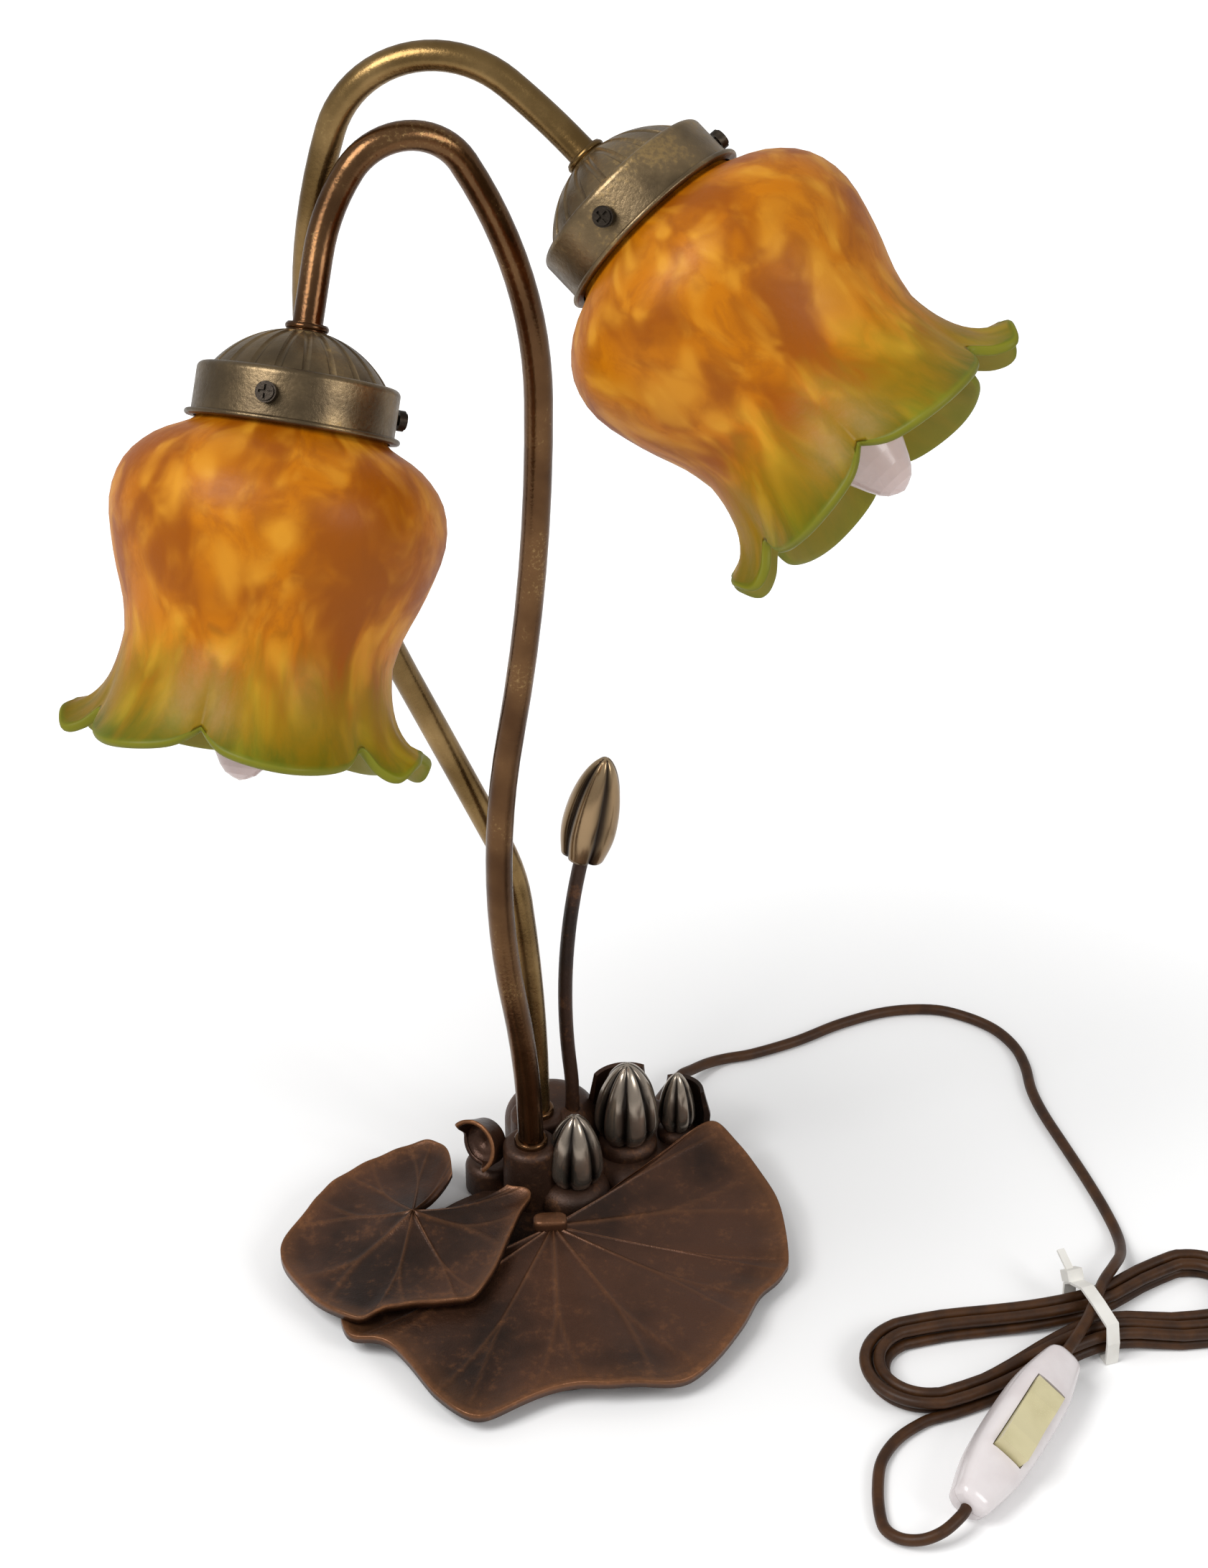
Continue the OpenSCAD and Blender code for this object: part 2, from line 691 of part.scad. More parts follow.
// Cross-slotted pan screws whose points hold the glass neck
module gallery_screws(turn) {
  color([0.22, 0.18, 0.14]) for (i = [0:2]) rotate([0, 0, turn + 120 * i])
    translate([glass_neck_d / 2 + 0.1, 0, screw_z]) rotate([0, 90, 0]) difference() {
      union() {
        cylinder(d = screw_d, h = screw_stand + 0.5);
        translate([0, 0, screw_stand]) {
          cylinder(d = screw_head_d - 1.2, h = screw_head_h);
          cylinder(d = screw_head_d, h = screw_head_h - 0.6);
        }
      }
      for (a = [0, 90]) rotate([0, 0, a])
        translate([-2, -0.4, screw_stand + screw_head_h - 0.8])
          cube([4, 0.8, 2]);
    }
}

module head_nut() {
  color(steel) translate([0, 0, head_nut_z])
    hex_nut(11, head_nut_h, spigot_d + 2 * hole_gap);
}

module lampholder() {
  color([0.12, 0.11, 0.10]) difference() {
    translate([0, 0, holder_z]) rotate_extrude() polygon([[0, 0], [8, 0], [9, 1], [9, 5],
      [holder_d / 2, 9], [holder_d / 2, holder_l - 1], [holder_d / 2 - 1, holder_l],
      [0, holder_l]]);
    translate([0, 0, holder_z - 1]) cylinder(d = spigot_d + 2 * hole_gap, h = 8);
    translate([0, 0, holder_z + 11])
      cylinder(d = cap_shell_d + 0.6, h = holder_l);
    translate([0, 0, holder_z + holder_l - 3]) cylinder(d = holder_d - 2 * holder_wall, h = 4);
  }
}

module bulb_cap() {
  color(antique) {
    translate([0, 0, holder_z + 12.5]) cylinder(d = cap_shell_d, h = bulb_z - holder_z - 12.5);
    translate([0, 0, holder_z + 11.2]) cylinder(d = 6, h = 1.4);
  }
}

// Candle bulb: [radius, distance from the lampholder], as shares of its size
bulb_line = [[0.40, 0], [0.55, 0.06], [0.85, 0.2], [1, 0.38], [0.93, 0.58], [0.70, 0.78],
  [0.46, 0.91], [0.26, 0.975], [0, 1]];

module bulb() {
  line = open_curve([for (q = bulb_line) [q[0] * bulb_d / 2, q[1] * bulb_l]], 2);
  color(opal) translate([0, 0, bulb_z]) difference() {
    rotate_extrude() polygon(concat([[0, 0]], line));
    translate([0, 0, 1]) rotate_extrude()
      polygon(concat([[0, 0]], [for (q = line) q * 0.94]));
  }
}

// ---- ruffled glass shade ----

shade_top = lip_z - 9;
rim_z = lip_z + shade_l + 6;
waist_z = lip_z + shade_l * 0.72;
flare_z = lip_z + shade_l * 0.94;
glass_neck_r = glass_neck_d / 2;
// Body of the shade from its neck to its waist: [radius, height]
shade_line = [[glass_neck_r, shade_top], [glass_neck_r, lip_z + lip_t - 0.6],
  [glass_neck_r + 1.6, lip_z + lip_t + 1.4], [bulge_r - 10, lip_z + 8.4],
  [bulge_r - 2.4, lip_z + 17],
  [bulge_r, lip_z + 29], [bulge_r - 3.4, lip_z + 44], [waist_r + 1.8, waist_z - 9],
  [waist_r, waist_z]];

// A quarter of the rim: [angle, share of the ruffle outwards, distance above the lowest edge].
// It starts on an ear that is pulled out and folded, and has two notches.
rim_shape = [[0, 0.85, 9.5], [7, 0.8, 6.5], [13, 0.6, 1.5], [20, 0, 3], [26, -0.6, 8],
  [36, -0.2, 2.5], [58, 0.25, 0], [79, -0.2, 2], [90, -0.8, 7.5]];
rim_quarter = open_curve(rim_shape, 2);
rim_last = len(rim_quarter) - 1;
rim_half = concat([for (i = [0:rim_last - 1]) rim_quarter[i]],
  [for (i = [rim_last:-1:1]) let (q = rim_quarter[i]) [180 - q[0], q[1], q[2]]]);
rim = concat(rim_half, [for (q = rim_half) [q[0] + 180, q[1], q[2]]]);
// The notches halfway between the ears lie a little to one side
notch_shift = 4;

// From the waist the glass swings out to the rim along a parabola
function flare(q, t) = (1 - t) * (1 - t) * [waist_r, waist_z]
  + 2 * t * (1 - t) * [waist_r + 1, flare_z] + t * t * [rim_r + ruffle * q[1], rim_z - q[2]];
flare_rows = [0.3, 0.55, 0.78, 1];
function glass_line(q) = concat(shade_line, [for (t = flare_rows) flare(q, t)]);

// The same line moved inwards by the glass thickness, square to itself
function inner_line(line) = [for (i = [0:len(line) - 1])
  let (d = unit(line[min(i + 1, len(line) - 1)] - line[max(i - 1, 0)]))
    line[i] + glass_t * [-d[1], d[0]]];

module shade() {
  side = len(rim);
  m = 2 * (len(shade_line) + len(flare_rows));
  rings = [for (q = rim) let (a = q[0] + notch_shift * pow(sin(q[0]), 2), line = glass_line(q),
      inside = inner_line(line))
    [for (p = concat(line, [for (i = [len(line) - 1:-1:0]) inside[i]]))
      [p[0] * cos(a), p[0] * sin(a), p[1]]]];
  color(amber) polyhedron(
    points = [for (ring = rings, q = ring) q],
    faces = concat(
      [for (k = [0:side - 1], i = [0:m - 1])
        [k * m + i, k * m + (i + 1) % m, ((k + 1) % side) * m + i]],
      [for (k = [0:side - 1], i = [0:m - 1])
        [k * m + (i + 1) % m, ((k + 1) % side) * m + (i + 1) % m, ((k + 1) % side) * m + i]]));
}

module left_neck_ring() { at_left_head() neck_ring(); }
module left_cap() { at_left_head() fluted_cap(); }
module left_gallery() { at_left_head() gallery(left_screw_turn); }
module left_gallery_screws() { at_left_head() gallery_screws(left_screw_turn); }
module left_head_nut() { at_left_head() head_nut(); }
module left_lampholder() { at_left_head() lampholder(); }
module left_bulb_cap() { at_left_head() bulb_cap(); }
module left_bulb() { at_left_head() bulb(); }
module left_shade() { at_left_head() rotate([0, 0, left_shade_turn]) shade(); }
module right_neck_ring() { at_right_head() neck_ring(); }
module right_cap() { at_right_head() fluted_cap(); }
module right_gallery() { at_right_head() gallery(right_screw_turn); }
module right_gallery_screws() { at_right_head() gallery_screws(right_screw_turn); }
module right_head_nut() { at_right_head() head_nut(); }
module right_lampholder() { at_right_head() lampholder(); }
module right_bulb_cap() { at_right_head() bulb_cap(); }
module right_bulb() { at_right_head() bulb(); }
module right_shade() { at_right_head() rotate([0, 0, right_shade_turn]) shade(); }

// ---- cord ----

gland_l = 20;
gland_end = [gland_from[0] + gland_l * cos(gland_aim),
  gland_from[1] + gland_l * sin(gland_aim), gland_z];
gland_way = [cos(gland_aim), sin(gland_aim), 0];

module cord_gland() {
  color([0.10, 0.08, 0.07]) translate([gland_from[0], gland_from[1], gland_z])
    rotate([0, 90, gland_aim]) difference() {
      union() {
        translate([0, 0, -cast_wall - 3]) cylinder(d = 7.2, h = 1.6);
        translate([0, 0, -cast_wall - 2]) cylinder(d = gland_waist, h = cast_wall + 3);
        translate([0, 0, 0.3]) cylinder(d = 8, h = 1.7);
        translate([0, 0, 1]) cylinder(d1 = 7.4, d2 = cord_d + 1.8, h = gland_l - 1);
      }
      translate([0, 0, -cast_wall - 4])
        cylinder(d = cord_d + 0.02, h = gland_l + cast_wall + 5);
    }
}

// Cord inside the base, from the strain relief to the terminal block
inlet_route = concat([gland_end, gland_end - (gland_l + 7) * gland_way],
  [[38.8, 57.5, 7], [35.5, 50, 7], [31.6, 44.2, 6.7], [28.4, 42, 6.4],
  [block_x + block_size[0], 42, 6.4]]);

module inlet_lead() {
  color(flex) swept_tube(inlet_route, cord_d, 8);
}

// Inline switch: where its middle lies, the way it points, its pitch and its roll
switch_at = [160, -98.4, 10.9];
switch_aim = 60.3;
switch_pitch = 3;
switch_roll = 34;
switch_way = [cos(switch_aim) * cos(switch_pitch), sin(switch_aim) * cos(switch_pitch),
  sin(switch_pitch)];
switch_far = switch_at + (switch_l / 2) * switch_way;
switch_near = switch_at - (switch_l / 2) * switch_way;

// Hank: a racetrack loop that spirals in on the table, climbs, and spirals out
hank_at = [191.5, -39];
hank_aim = 20;
hank_way = [cos(hank_aim), sin(hank_aim), 0];
hank_side = [-sin(hank_aim), cos(hank_aim), 0];
hank_left = 62;
hank_right = 40;
fold_r = 3.05 * cord_d;
loop_step = 1.18 * cord_d;
layer_step = 1.18 * cord_d;
waist_pull = fold_r - 0.57 * cord_d;
// Height by which the loops are held up where the tie passes under them
tie_under = 1.9;
climb_turns = 0.2;
hank_turns = hank_loops + 0.25;
turn_back = hank_turns / 2;

// Half width of the loop and height of the cord after t turns
function loop_width(t) = fold_r + loop_step * abs(t - turn_back);
function climb(t) = let (c = min(1, max(0, (t - turn_back) / climb_turns + 0.5)))
  c * c * (3 - 2 * c);
// How strongly a run is drawn in at the distance x from the tie
function loop_waist(x) = pow(cos(90 * (x < 0 ? -x / hank_left : x / hank_right)), 2);

// Point of the hank after t turns: a run out, a fold, a run back and a fold
function hank_flat(t) = let (q = t - floor(t), w = loop_width(t),
    run = hank_left + hank_right)
  q < 0.25 ? let (x = -hank_left + run * q * 4) [x, -(w - waist_pull * loop_waist(x))]
  : q < 0.5 ? let (a = -90 + 720 * (q - 0.25)) [hank_right + w * cos(a), w * sin(a)]
  : q < 0.75 ? let (x = hank_right - run * (q - 0.5) * 4) [x, w - waist_pull * loop_waist(x)]
  : let (a = 90 + 720 * (q - 0.75)) [-hank_left + w * cos(a), w * sin(a)];
function hank_point(t) = let (p = hank_flat(t), on_run = t % 0.5 < 0.25)
  [hank_at[0], hank_at[1], cord_d / 2 + layer_step * climb(t)
    + (on_run ? tie_under * pow(loop_waist(p[0]), 2) : 0)] + p[0] * hank_way + p[1] * hank_side;
// Rings of one turn: 4 along each run and 8 round each fold
ring_steps = [for (half = [0, 0.5]) each concat([0, 0.07, 0.13, 0.18] + half * [1, 1, 1, 1],
  [for (k = [0:7]) half + 0.25 + k / 32])];
hank_start = hank_point(0);
hank_end = hank_point(hank_turns);
hank_points = concat([hank_start, hank_start + cord_d * hank_way],
  [for (n = [0:hank_loops - 1], s = ring_steps) if (n + s > 0) hank_point(n + s)],
  [for (i = [0:3]) hank_point(hank_loops + ring_steps[i])],
  [hank_end - cord_d * hank_way, hank_end]);

// Distance between two straight pieces of cord, taken at several places on each
function piece_gap(a, b, c, d) = min([for (s = [0:0.25:1], t = [0:0.25:1])
  norm(a + s * (b - a) - c - t * (d - c))]);
hank_gap = min([for (i = [0:len(hank_points) - 2], j = [i + 6:1:len(hank_points) - 2])
  norm(hank_points[i] - hank_points[j]) > 40 ? 40
  : piece_gap(hank_points[i], hank_points[i + 1], hank_points[j], hank_points[j + 1])]) - cord_d;

module cord_hank() {
  echo(least_gap_in_hank = hank_gap);
  color(flex) swept_tube(hank_points, cord_d, 6);
}

// Cord from the strain relief across the table and over the hank to the switch
lamp_route = concat([gland_end, gland_end + cord_d * gland_way],
  [[57.5, 98.5, 5.4], [63.5, 105, 3.4], [70.5, 109.5, 2.1], [81, 112.6, 2], [98, 120.5, 2], [115, 131, 2],
  [133, 138.5, 2], [150, 140, 2], [162, 136, 2], [173, 128, 2], [180, 117, 2],
  [183, 105, 2], [184, 91, 2], [187, 77, 2], [193, 58, 2], [199, 39, 2], [204, 21, 2],
  [206.5, 7, 2.6], [205.5, -6, 6.5], [201.5, -17.5, 11], [196, -29, 13]],
  [switch_far + 20 * switch_way, switch_far + cord_d * switch_way, switch_far]);
// Cord from the switch, in a wide turn, to the hank
switch_route = concat([switch_near, switch_near - cord_d * switch_way],
  [[133.5, -139.8, 7], [127, -141.5, 5], [120.4, -139.8, 3.4], [115.6, -135, 2.4],
  [114, -128, 2], [114, -116, 2], [116, -103.5, 2], [122, -93, 2], [131, -85.2, 2]],
  [hank_start - cord_d * hank_way, hank_start]);
plug_route = [hank_end, hank_end + 14 * hank_way, hank_end + 27 * hank_way];

module lamp_cord() {
  color(flex) swept_tube(open_curve(lamp_route, 2), cord_d, 8);
}

module switch_cord() {
  color(flex) swept_tube(open_curve(switch_route, 2), cord_d, 8);
}

module plug_cord() {
  color(flex) swept_tube(plug_route, cord_d, 8);
}

tie_w = 4.6;
tie_t = 1.1;
tie_half = fold_r - waist_pull + loop_step * (hank_turns / 2) + cord_d / 2 + 1.7;
tie_floor = tie_under - 0.6;
tie_shoulder = tie_under + layer_step + cord_d + 0.5;
tie_top = tie_shoulder + cord_d + 1;

// Outline of the tie: flat below, upright at the sides, drawn over the crossing cord
function tie_line(grow) = [[-tie_half - grow, tie_floor - grow],
  [tie_half + grow, tie_floor - grow], [tie_half + grow, tie_shoulder - 2],
  [tie_half - 3, tie_shoulder + grow + 0.6], [4.4, tie_top + grow], [-4.4, tie_top + grow],
  [-tie_half + 1, tie_top + grow - 0.8], [-tie_half - grow, tie_shoulder - 2]];

module hank_tie() {
  color(white) translate([hank_at[0], hank_at[1], 0]) rotate([0, 0, hank_aim])
    rotate([90, 0, 90]) translate([0, 0, -tie_w / 2]) {
      linear_extrude(tie_w) difference() {
        polygon(tie_line(tie_t));
        polygon(tie_line(0));
      }
      translate([tie_half - 4, tie_shoulder + 2.2, -0.6]) rotate([0, 0, -35])
        linear_extrude(tie_w + 1.2) square([6, 4]);
      translate([tie_half + 1, tie_shoulder + 2, 1]) rotate([0, 0, 18])
        cube([9, tie_t, tie_w - 2]);
    }
}

// ---- inline switch ----

switch_end_w = 14;
switch_end_h = 12;
seam = 0.1;
rocker_pin_z = switch_h / 2 - 4.5;
rocker_tilt = 5;
rocker_top = switch_h / 2 + 1.4;

module at_switch() {
  translate(switch_at) rotate([0, -switch_pitch, switch_aim]) rotate([switch_roll, 0, 0])
    children();
}

// Barrel outline of given width in the middle and at its rounded ends
module barrel(mid, end, corner) {
  half = [[-switch_l / 2, end / 2 - corner], [-switch_l / 2 + corner * 0.3, end / 2 - corner * 0.3],
    [-switch_l / 2 + corner, end / 2], [-switch_l / 4, mid * 0.47], [0, mid / 2],
    [switch_l / 4, mid * 0.47], [switch_l / 2 - corner, end / 2],
    [switch_l / 2 - corner * 0.3, end / 2 - corner * 0.3], [switch_l / 2, end / 2 - corner]];
  line = open_curve(half, 3);
  polygon(concat(line, [for (i = [len(line) - 1:-1:0]) [line[i][0], -line[i][1]]]));
}

module switch_body() {
  intersection() {
    translate([0, 0, -switch_h]) linear_extrude(2 * switch_h) barrel(switch_w, switch_end_w, 4);
    rotate([90, 0, 0]) translate([0, 0, -switch_w]) linear_extrude(2 * switch_w)
      barrel(switch_h, switch_end_h, 3);
    rotate([90, 0, 90]) translate([0, 0, -switch_l]) linear_extrude(2 * switch_l)
      polygon([for (i = [0:31]) let (a = 360 * i / 32)
        [switch_w / 2 * sign(cos(a)) * pow(abs(cos(a)), 0.6),
          switch_h / 2 * sign(sin(a)) * pow(abs(sin(a)), 0.6)]]);
  }
}

module switch_hollow() {
  translate([-rocker_l / 2 - 3, -rocker_w / 2 - 2.4, -switch_h / 2 + 2.4])
    cube([rocker_l + 6, rocker_w + 4.8, switch_h - 5]);
}

module switch_screw_holes(d) {
  for (x = [-1, 1]) translate([x * (switch_l / 2 - 12), 0, -switch_h])
    cylinder(d = d, h = 2 * switch_h);
}

module cord_way() {
  rotate([0, 90, 0]) for (z = [-switch_l / 2 - 1, switch_l / 2 - 9])
    translate([0, 0, z]) cylinder(d = cord_d + 0.6, h = 10);
}

module switch_lower() {
  color(white) at_switch() difference() {
    intersection() {
      switch_body();
      translate([-switch_l, -switch_w, -switch_h]) cube([2 * switch_l, 2 * switch_w, switch_h - seam]);
    }
    switch_hollow();
    switch_screw_holes(2.4);
    cord_way();
  }
}

module switch_upper() {
  color(white) at_switch() difference() {
    intersection() {
      switch_body();
      translate([-switch_l, -switch_w, seam]) cube([2 * switch_l, 2 * switch_w, switch_h]);
    }
    switch_hollow();
    translate([-rocker_l / 2 - rocker_end_gap, -rocker_w / 2 - rocker_gap, 0])
      cube([rocker_l + 2 * rocker_end_gap, rocker_w + 2 * rocker_gap, switch_h]);
    switch_screw_holes(2.4);
    cord_way();
    translate([0, switch_w, rocker_pin_z]) rotate([90, 0, 0])
      cylinder(d = 2.1, h = 2 * switch_w, $fn = 32);
  }
}

// The rocker rests with one end pressed in and tilts the other way when pushed
module switch_rocker() {
  r = 60;
  color(cream) at_switch() translate([0, 0, rocker_pin_z]) rotate([0, rocker_tilt, 0])
    difference() {
      intersection() {
        translate([-rocker_l / 2, -rocker_w / 2, -2.4])
          cube([rocker_l, rocker_w, rocker_top - rocker_pin_z + 3]);
        translate([0, 0, rocker_top - rocker_pin_z + r]) rotate([90, 0, 0])
          difference() {
            cylinder(r = r + 9, h = switch_w, center = true, $fn = 128);
            cylinder(r = r, h = 2 * switch_w, center = true, $fn = 128);
          }
      }
      rotate([90, 0, 0]) cylinder(d = 2.3, h = 2 * switch_w, center = true, $fn = 32);
    }
}

module rocker_pin() {
  color(steel) at_switch() translate([0, rocker_w / 2 + 2.2, rocker_pin_z]) rotate([90, 0, 0])
    cylinder(d = 2, h = rocker_w + 4.4, $fn = 32);
}

module switch_screws() {
  color(steel) at_switch() for (x = [-1, 1])
    translate([x * (switch_l / 2 - 12), 0, -switch_h / 2 + 3.4]) {
      cylinder(d = 2.2, h = switch_h - 8);
    }
}

module switch_contacts() {
  color(antique) at_switch() for (x = [-1, 1])
    translate([x * 9 - 4, -2.5, -switch_h / 2 + 2.5]) {
      cube([8, 5, 0.8]);
      translate([3, 0, 0]) cube([1.2, 5, 2.6]);
    }
}

// ---- plug ----

plug_l = 37;
plug_w = 26;
pin_d = 4;
pin_l = 19;
pin_apart = 18.6;

module at_plug() {
  end = plug_route[len(plug_route) - 1];
  translate(end) rotate([0, 0, hank_aim]) children();
}

module plug_body() {
  color([0.16, 0.10, 0.07]) at_plug() difference() {
    intersection() {
      translate([0, 0, -plug_h]) linear_extrude(2 * plug_h)
        polygon([[0, -3.6], [9, -4.6], [16, -9], [22, -plug_w / 2], [plug_l, -plug_w / 2],
          [plug_l, plug_w / 2], [22, plug_w / 2], [16, 9], [9, 4.6], [0, 3.6]]);
      rotate([90, 0, 90]) linear_extrude(plug_l) polygon([
        [-plug_w / 2, -plug_h / 2 + 4], [-plug_w / 2 + 4, -plug_h / 2],
        [plug_w / 2 - 4, -plug_h / 2], [plug_w / 2, -plug_h / 2 + 4],
        [plug_w / 2, plug_h / 2 - 4], [plug_w / 2 - 4, plug_h / 2],
        [-plug_w / 2 + 4, plug_h / 2], [-plug_w / 2, plug_h / 2 - 4]]);
      rotate([90, 0, 0]) translate([0, 0, -plug_w]) linear_extrude(2 * plug_w)
        polygon([[0, -3.2], [14, -plug_h / 2 + 1.4], [20, -plug_h / 2], [plug_l, -plug_h / 2],
          [plug_l, plug_h / 2], [20, plug_h / 2], [14, plug_h / 2 - 1.4], [0, 3.2]]);
    }
    for (y = [-1, 1]) translate([plug_l - 8, y * pin_apart / 2, 0]) rotate([0, 90, 0])
      cylinder(d = pin_d + 0.02, h = 10);
  }
}

module plug_pins() {
  color(steel) at_plug() for (y = [-1, 1])
    translate([plug_l - 7.9, y * pin_apart / 2, 0]) rotate([0, 90, 0]) {
      cylinder(d = pin_d, h = pin_l + 6.9);
      translate([0, 0, pin_l + 6.8]) cylinder(d1 = pin_d, d2 = 2, h = 1);
    }
}

felt_pad();
base_plate();
plate_screws();
base_casting();
large_leaf();
small_leaf();
rolled_leaf();
front_bud();
rear_bud();
side_bud();
left_arm();
right_arm();
foot_rings();
foot_washers();
foot_nuts();
bud_stem();
bud_head();
stem_nut();
terminal_block();
left_lead();
right_lead();
left_neck_ring();
left_cap();
left_gallery();
left_gallery_screws();
left_head_nut();
left_lampholder();
left_bulb_cap();
left_bulb();
left_shade();
right_neck_ring();
right_cap();
right_gallery();
right_gallery_screws();
right_head_nut();
right_lampholder();
right_bulb_cap();
right_bulb();
right_shade();
cord_gland();
inlet_lead();
lamp_cord();
switch_lower();
switch_upper();
switch_rocker();
rocker_pin();
switch_screws();
switch_contacts();
switch_cord();
cord_hank();
hank_tie();
plug_cord();
plug_body();
plug_pins();
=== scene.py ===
from math import cos, dist, exp, pi, radians, sin

import bpy
from mathutils import Matrix, Vector


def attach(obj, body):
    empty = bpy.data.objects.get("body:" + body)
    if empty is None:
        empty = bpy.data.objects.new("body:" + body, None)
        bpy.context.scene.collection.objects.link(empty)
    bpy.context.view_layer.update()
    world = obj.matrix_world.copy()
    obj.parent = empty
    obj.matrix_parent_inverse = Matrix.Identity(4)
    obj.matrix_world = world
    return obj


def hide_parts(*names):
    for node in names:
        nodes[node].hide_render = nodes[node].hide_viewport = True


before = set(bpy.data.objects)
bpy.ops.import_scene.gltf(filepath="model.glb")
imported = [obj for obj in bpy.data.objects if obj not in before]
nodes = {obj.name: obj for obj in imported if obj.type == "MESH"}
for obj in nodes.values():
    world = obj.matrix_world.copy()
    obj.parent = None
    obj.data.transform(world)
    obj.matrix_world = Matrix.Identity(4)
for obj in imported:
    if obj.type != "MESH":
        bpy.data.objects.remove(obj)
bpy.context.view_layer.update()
LAMP = "lamp"
MM = 0.001


# ---- camera ----

def place_camera():
    """The photograph's viewpoint, looking down at 34 degrees."""
    lens = bpy.data.cameras.new("viewpoint")
    lens.sensor_width = 36.0
    lens.lens = 84.07
    camera = bpy.data.objects.new("viewpoint", lens)
    camera.location = (0.0248, -0.9766, 0.8595)
    camera.rotation_euler = (radians(56), 0, 0)
    bpy.context.scene.collection.objects.link(camera)
    bpy.context.scene.camera = camera


place_camera()


# ---- curves shared by the pieces ----

def blend_point(a, b, c, d, t):
    """Point on a smooth curve through b and c, with a and d as its neighbours."""
    return [0.5 * (2 * q + (r - p) * t + (2 * p - 5 * q + 4 * r - s) * t * t
                   + (3 * q - p - 3 * r + s) * t ** 3) for p, q, r, s in zip(a, b, c, d)]


def open_curve(points, steps):
    """Open curve through points, with that many steps between neighbours."""
    last = len(points) - 1
    line = [blend_point(points[max(i - 1, 0)], points[i], points[i + 1],
                        points[min(i + 2, last)], k / steps)
            for i in range(last) for k in range(steps)]
    return line + [list(points[last])]


def line_length(points):
    return sum(dist(a, b) for a, b in zip(points, points[1:]))


def along(a, b, share):
    return a + (b - a) * share


def ease(x):
    x = min(1.0, max(0.0, x))
    return x * x * (3 - 2 * x)


# ---- materials: a wire wraps a socket, and sums on wires add Math nodes ----

class Wire:
    def __init__(self, finish, socket):
        self.finish = finish
        self.socket = socket

    def math(self, operation, *values):
        return self.finish.add("ShaderNodeMath", {"operation": operation},
                               dict(enumerate(values)))

    def __add__(self, other):
        return self.math("ADD", self, other)

    def __radd__(self, other):
        return self.math("ADD", other, self)

    def __sub__(self, other):
        return self.math("SUBTRACT", self, other)

    def __rsub__(self, other):
        return self.math("SUBTRACT", other, self)

    def __mul__(self, other):
        return self.math("MULTIPLY", self, other)

    def __rmul__(self, other):
        return self.math("MULTIPLY", other, self)

    def clamp(self):
        return self.finish.add("ShaderNodeClamp", {}, {"Value": self})

    def between(self, low, high):
        """0 at low, 1 at high, smooth between."""
        return self.finish.add("ShaderNodeMapRange", {"interpolation_type": "SMOOTHSTEP"},
                               {"Value": self, "From Min": low, "From Max": high})


def tone(red, green, blue):
    """Colour from its 0 to 255 values as seen."""
    def straight(v):
        v /= 255
        return v / 12.92 if v <= 0.04045 else ((v + 0.055) / 1.055) ** 2.4
    return (straight(red), straight(green), straight(blue), 1.0)


class Finish:
    def __init__(self, name):
        self.material = bpy.data.materials.new(name)
        self.material.use_nodes = True
        self.tree = self.material.node_tree
        self.tree.nodes.clear()
        self.place = self.add("ShaderNodeTexCoord", {}, {}, "Object")

    def add(self, kind, settings, sockets, output=0):
        node = self.tree.nodes.new(kind)
        for key, value in settings.items():
            setattr(node, key, value)
        for key, value in sockets.items():
            if isinstance(value, Wire):
                self.tree.links.new(value.socket, node.inputs[key])
            else:
                node.inputs[key].default_value = value
        return Wire(self, node.outputs[output] if len(node.outputs) else None)

    def noise(self, scale, detail=3.0, rough=0.5, place=None):
        return self.add("ShaderNodeTexNoise", {}, {"Vector": place or self.place, "Scale": scale,
                        "Detail": detail, "Roughness": rough})

    def cells(self, scale, place):
        """Distance to the middles of soft cells."""
        return self.add("ShaderNodeTexVoronoi", {"feature": "SMOOTH_F1"},
                        {"Vector": place, "Scale": scale}, "Distance")

    def kept(self, name):
        """A number stored on the piece's own points."""
        return self.add("ShaderNodeAttribute", {"attribute_name": name}, {}, "Fac")

    def spread(self, value, low, high, start=0.3, end=0.7):
        """From low to high while value goes from start to end."""
        return self.add("ShaderNodeMapRange", {}, {"Value": value, "From Min": start,
                        "From Max": end, "To Min": low, "To Max": high})

    def mix(self, share, a, b):
        """Colour b over colour a; the numbered sockets are those for colours."""
        return self.add("ShaderNodeMix", {"data_type": "RGBA"}, {0: share, 6: a, 7: b}, 2)

    def bump(self, height, depth, strength=1.0):
        return self.add("ShaderNodeBump", {}, {"Height": height, "Distance": depth,
                                               "Strength": strength})

    def surface(self, colour, rough, metal=0.0, normal=None, **constants):
        sockets = {"Base Color": colour, "Roughness": rough, "Metallic": metal}
        if normal is not None:
            sockets["Normal"] = normal
        sockets.update({k.replace("_", " "): v for k, v in constants.items()})
        shader = self.add("ShaderNodeBsdfPrincipled", {}, sockets)
        self.add("ShaderNodeOutputMaterial", {}, {"Surface": shader})
        return self.material


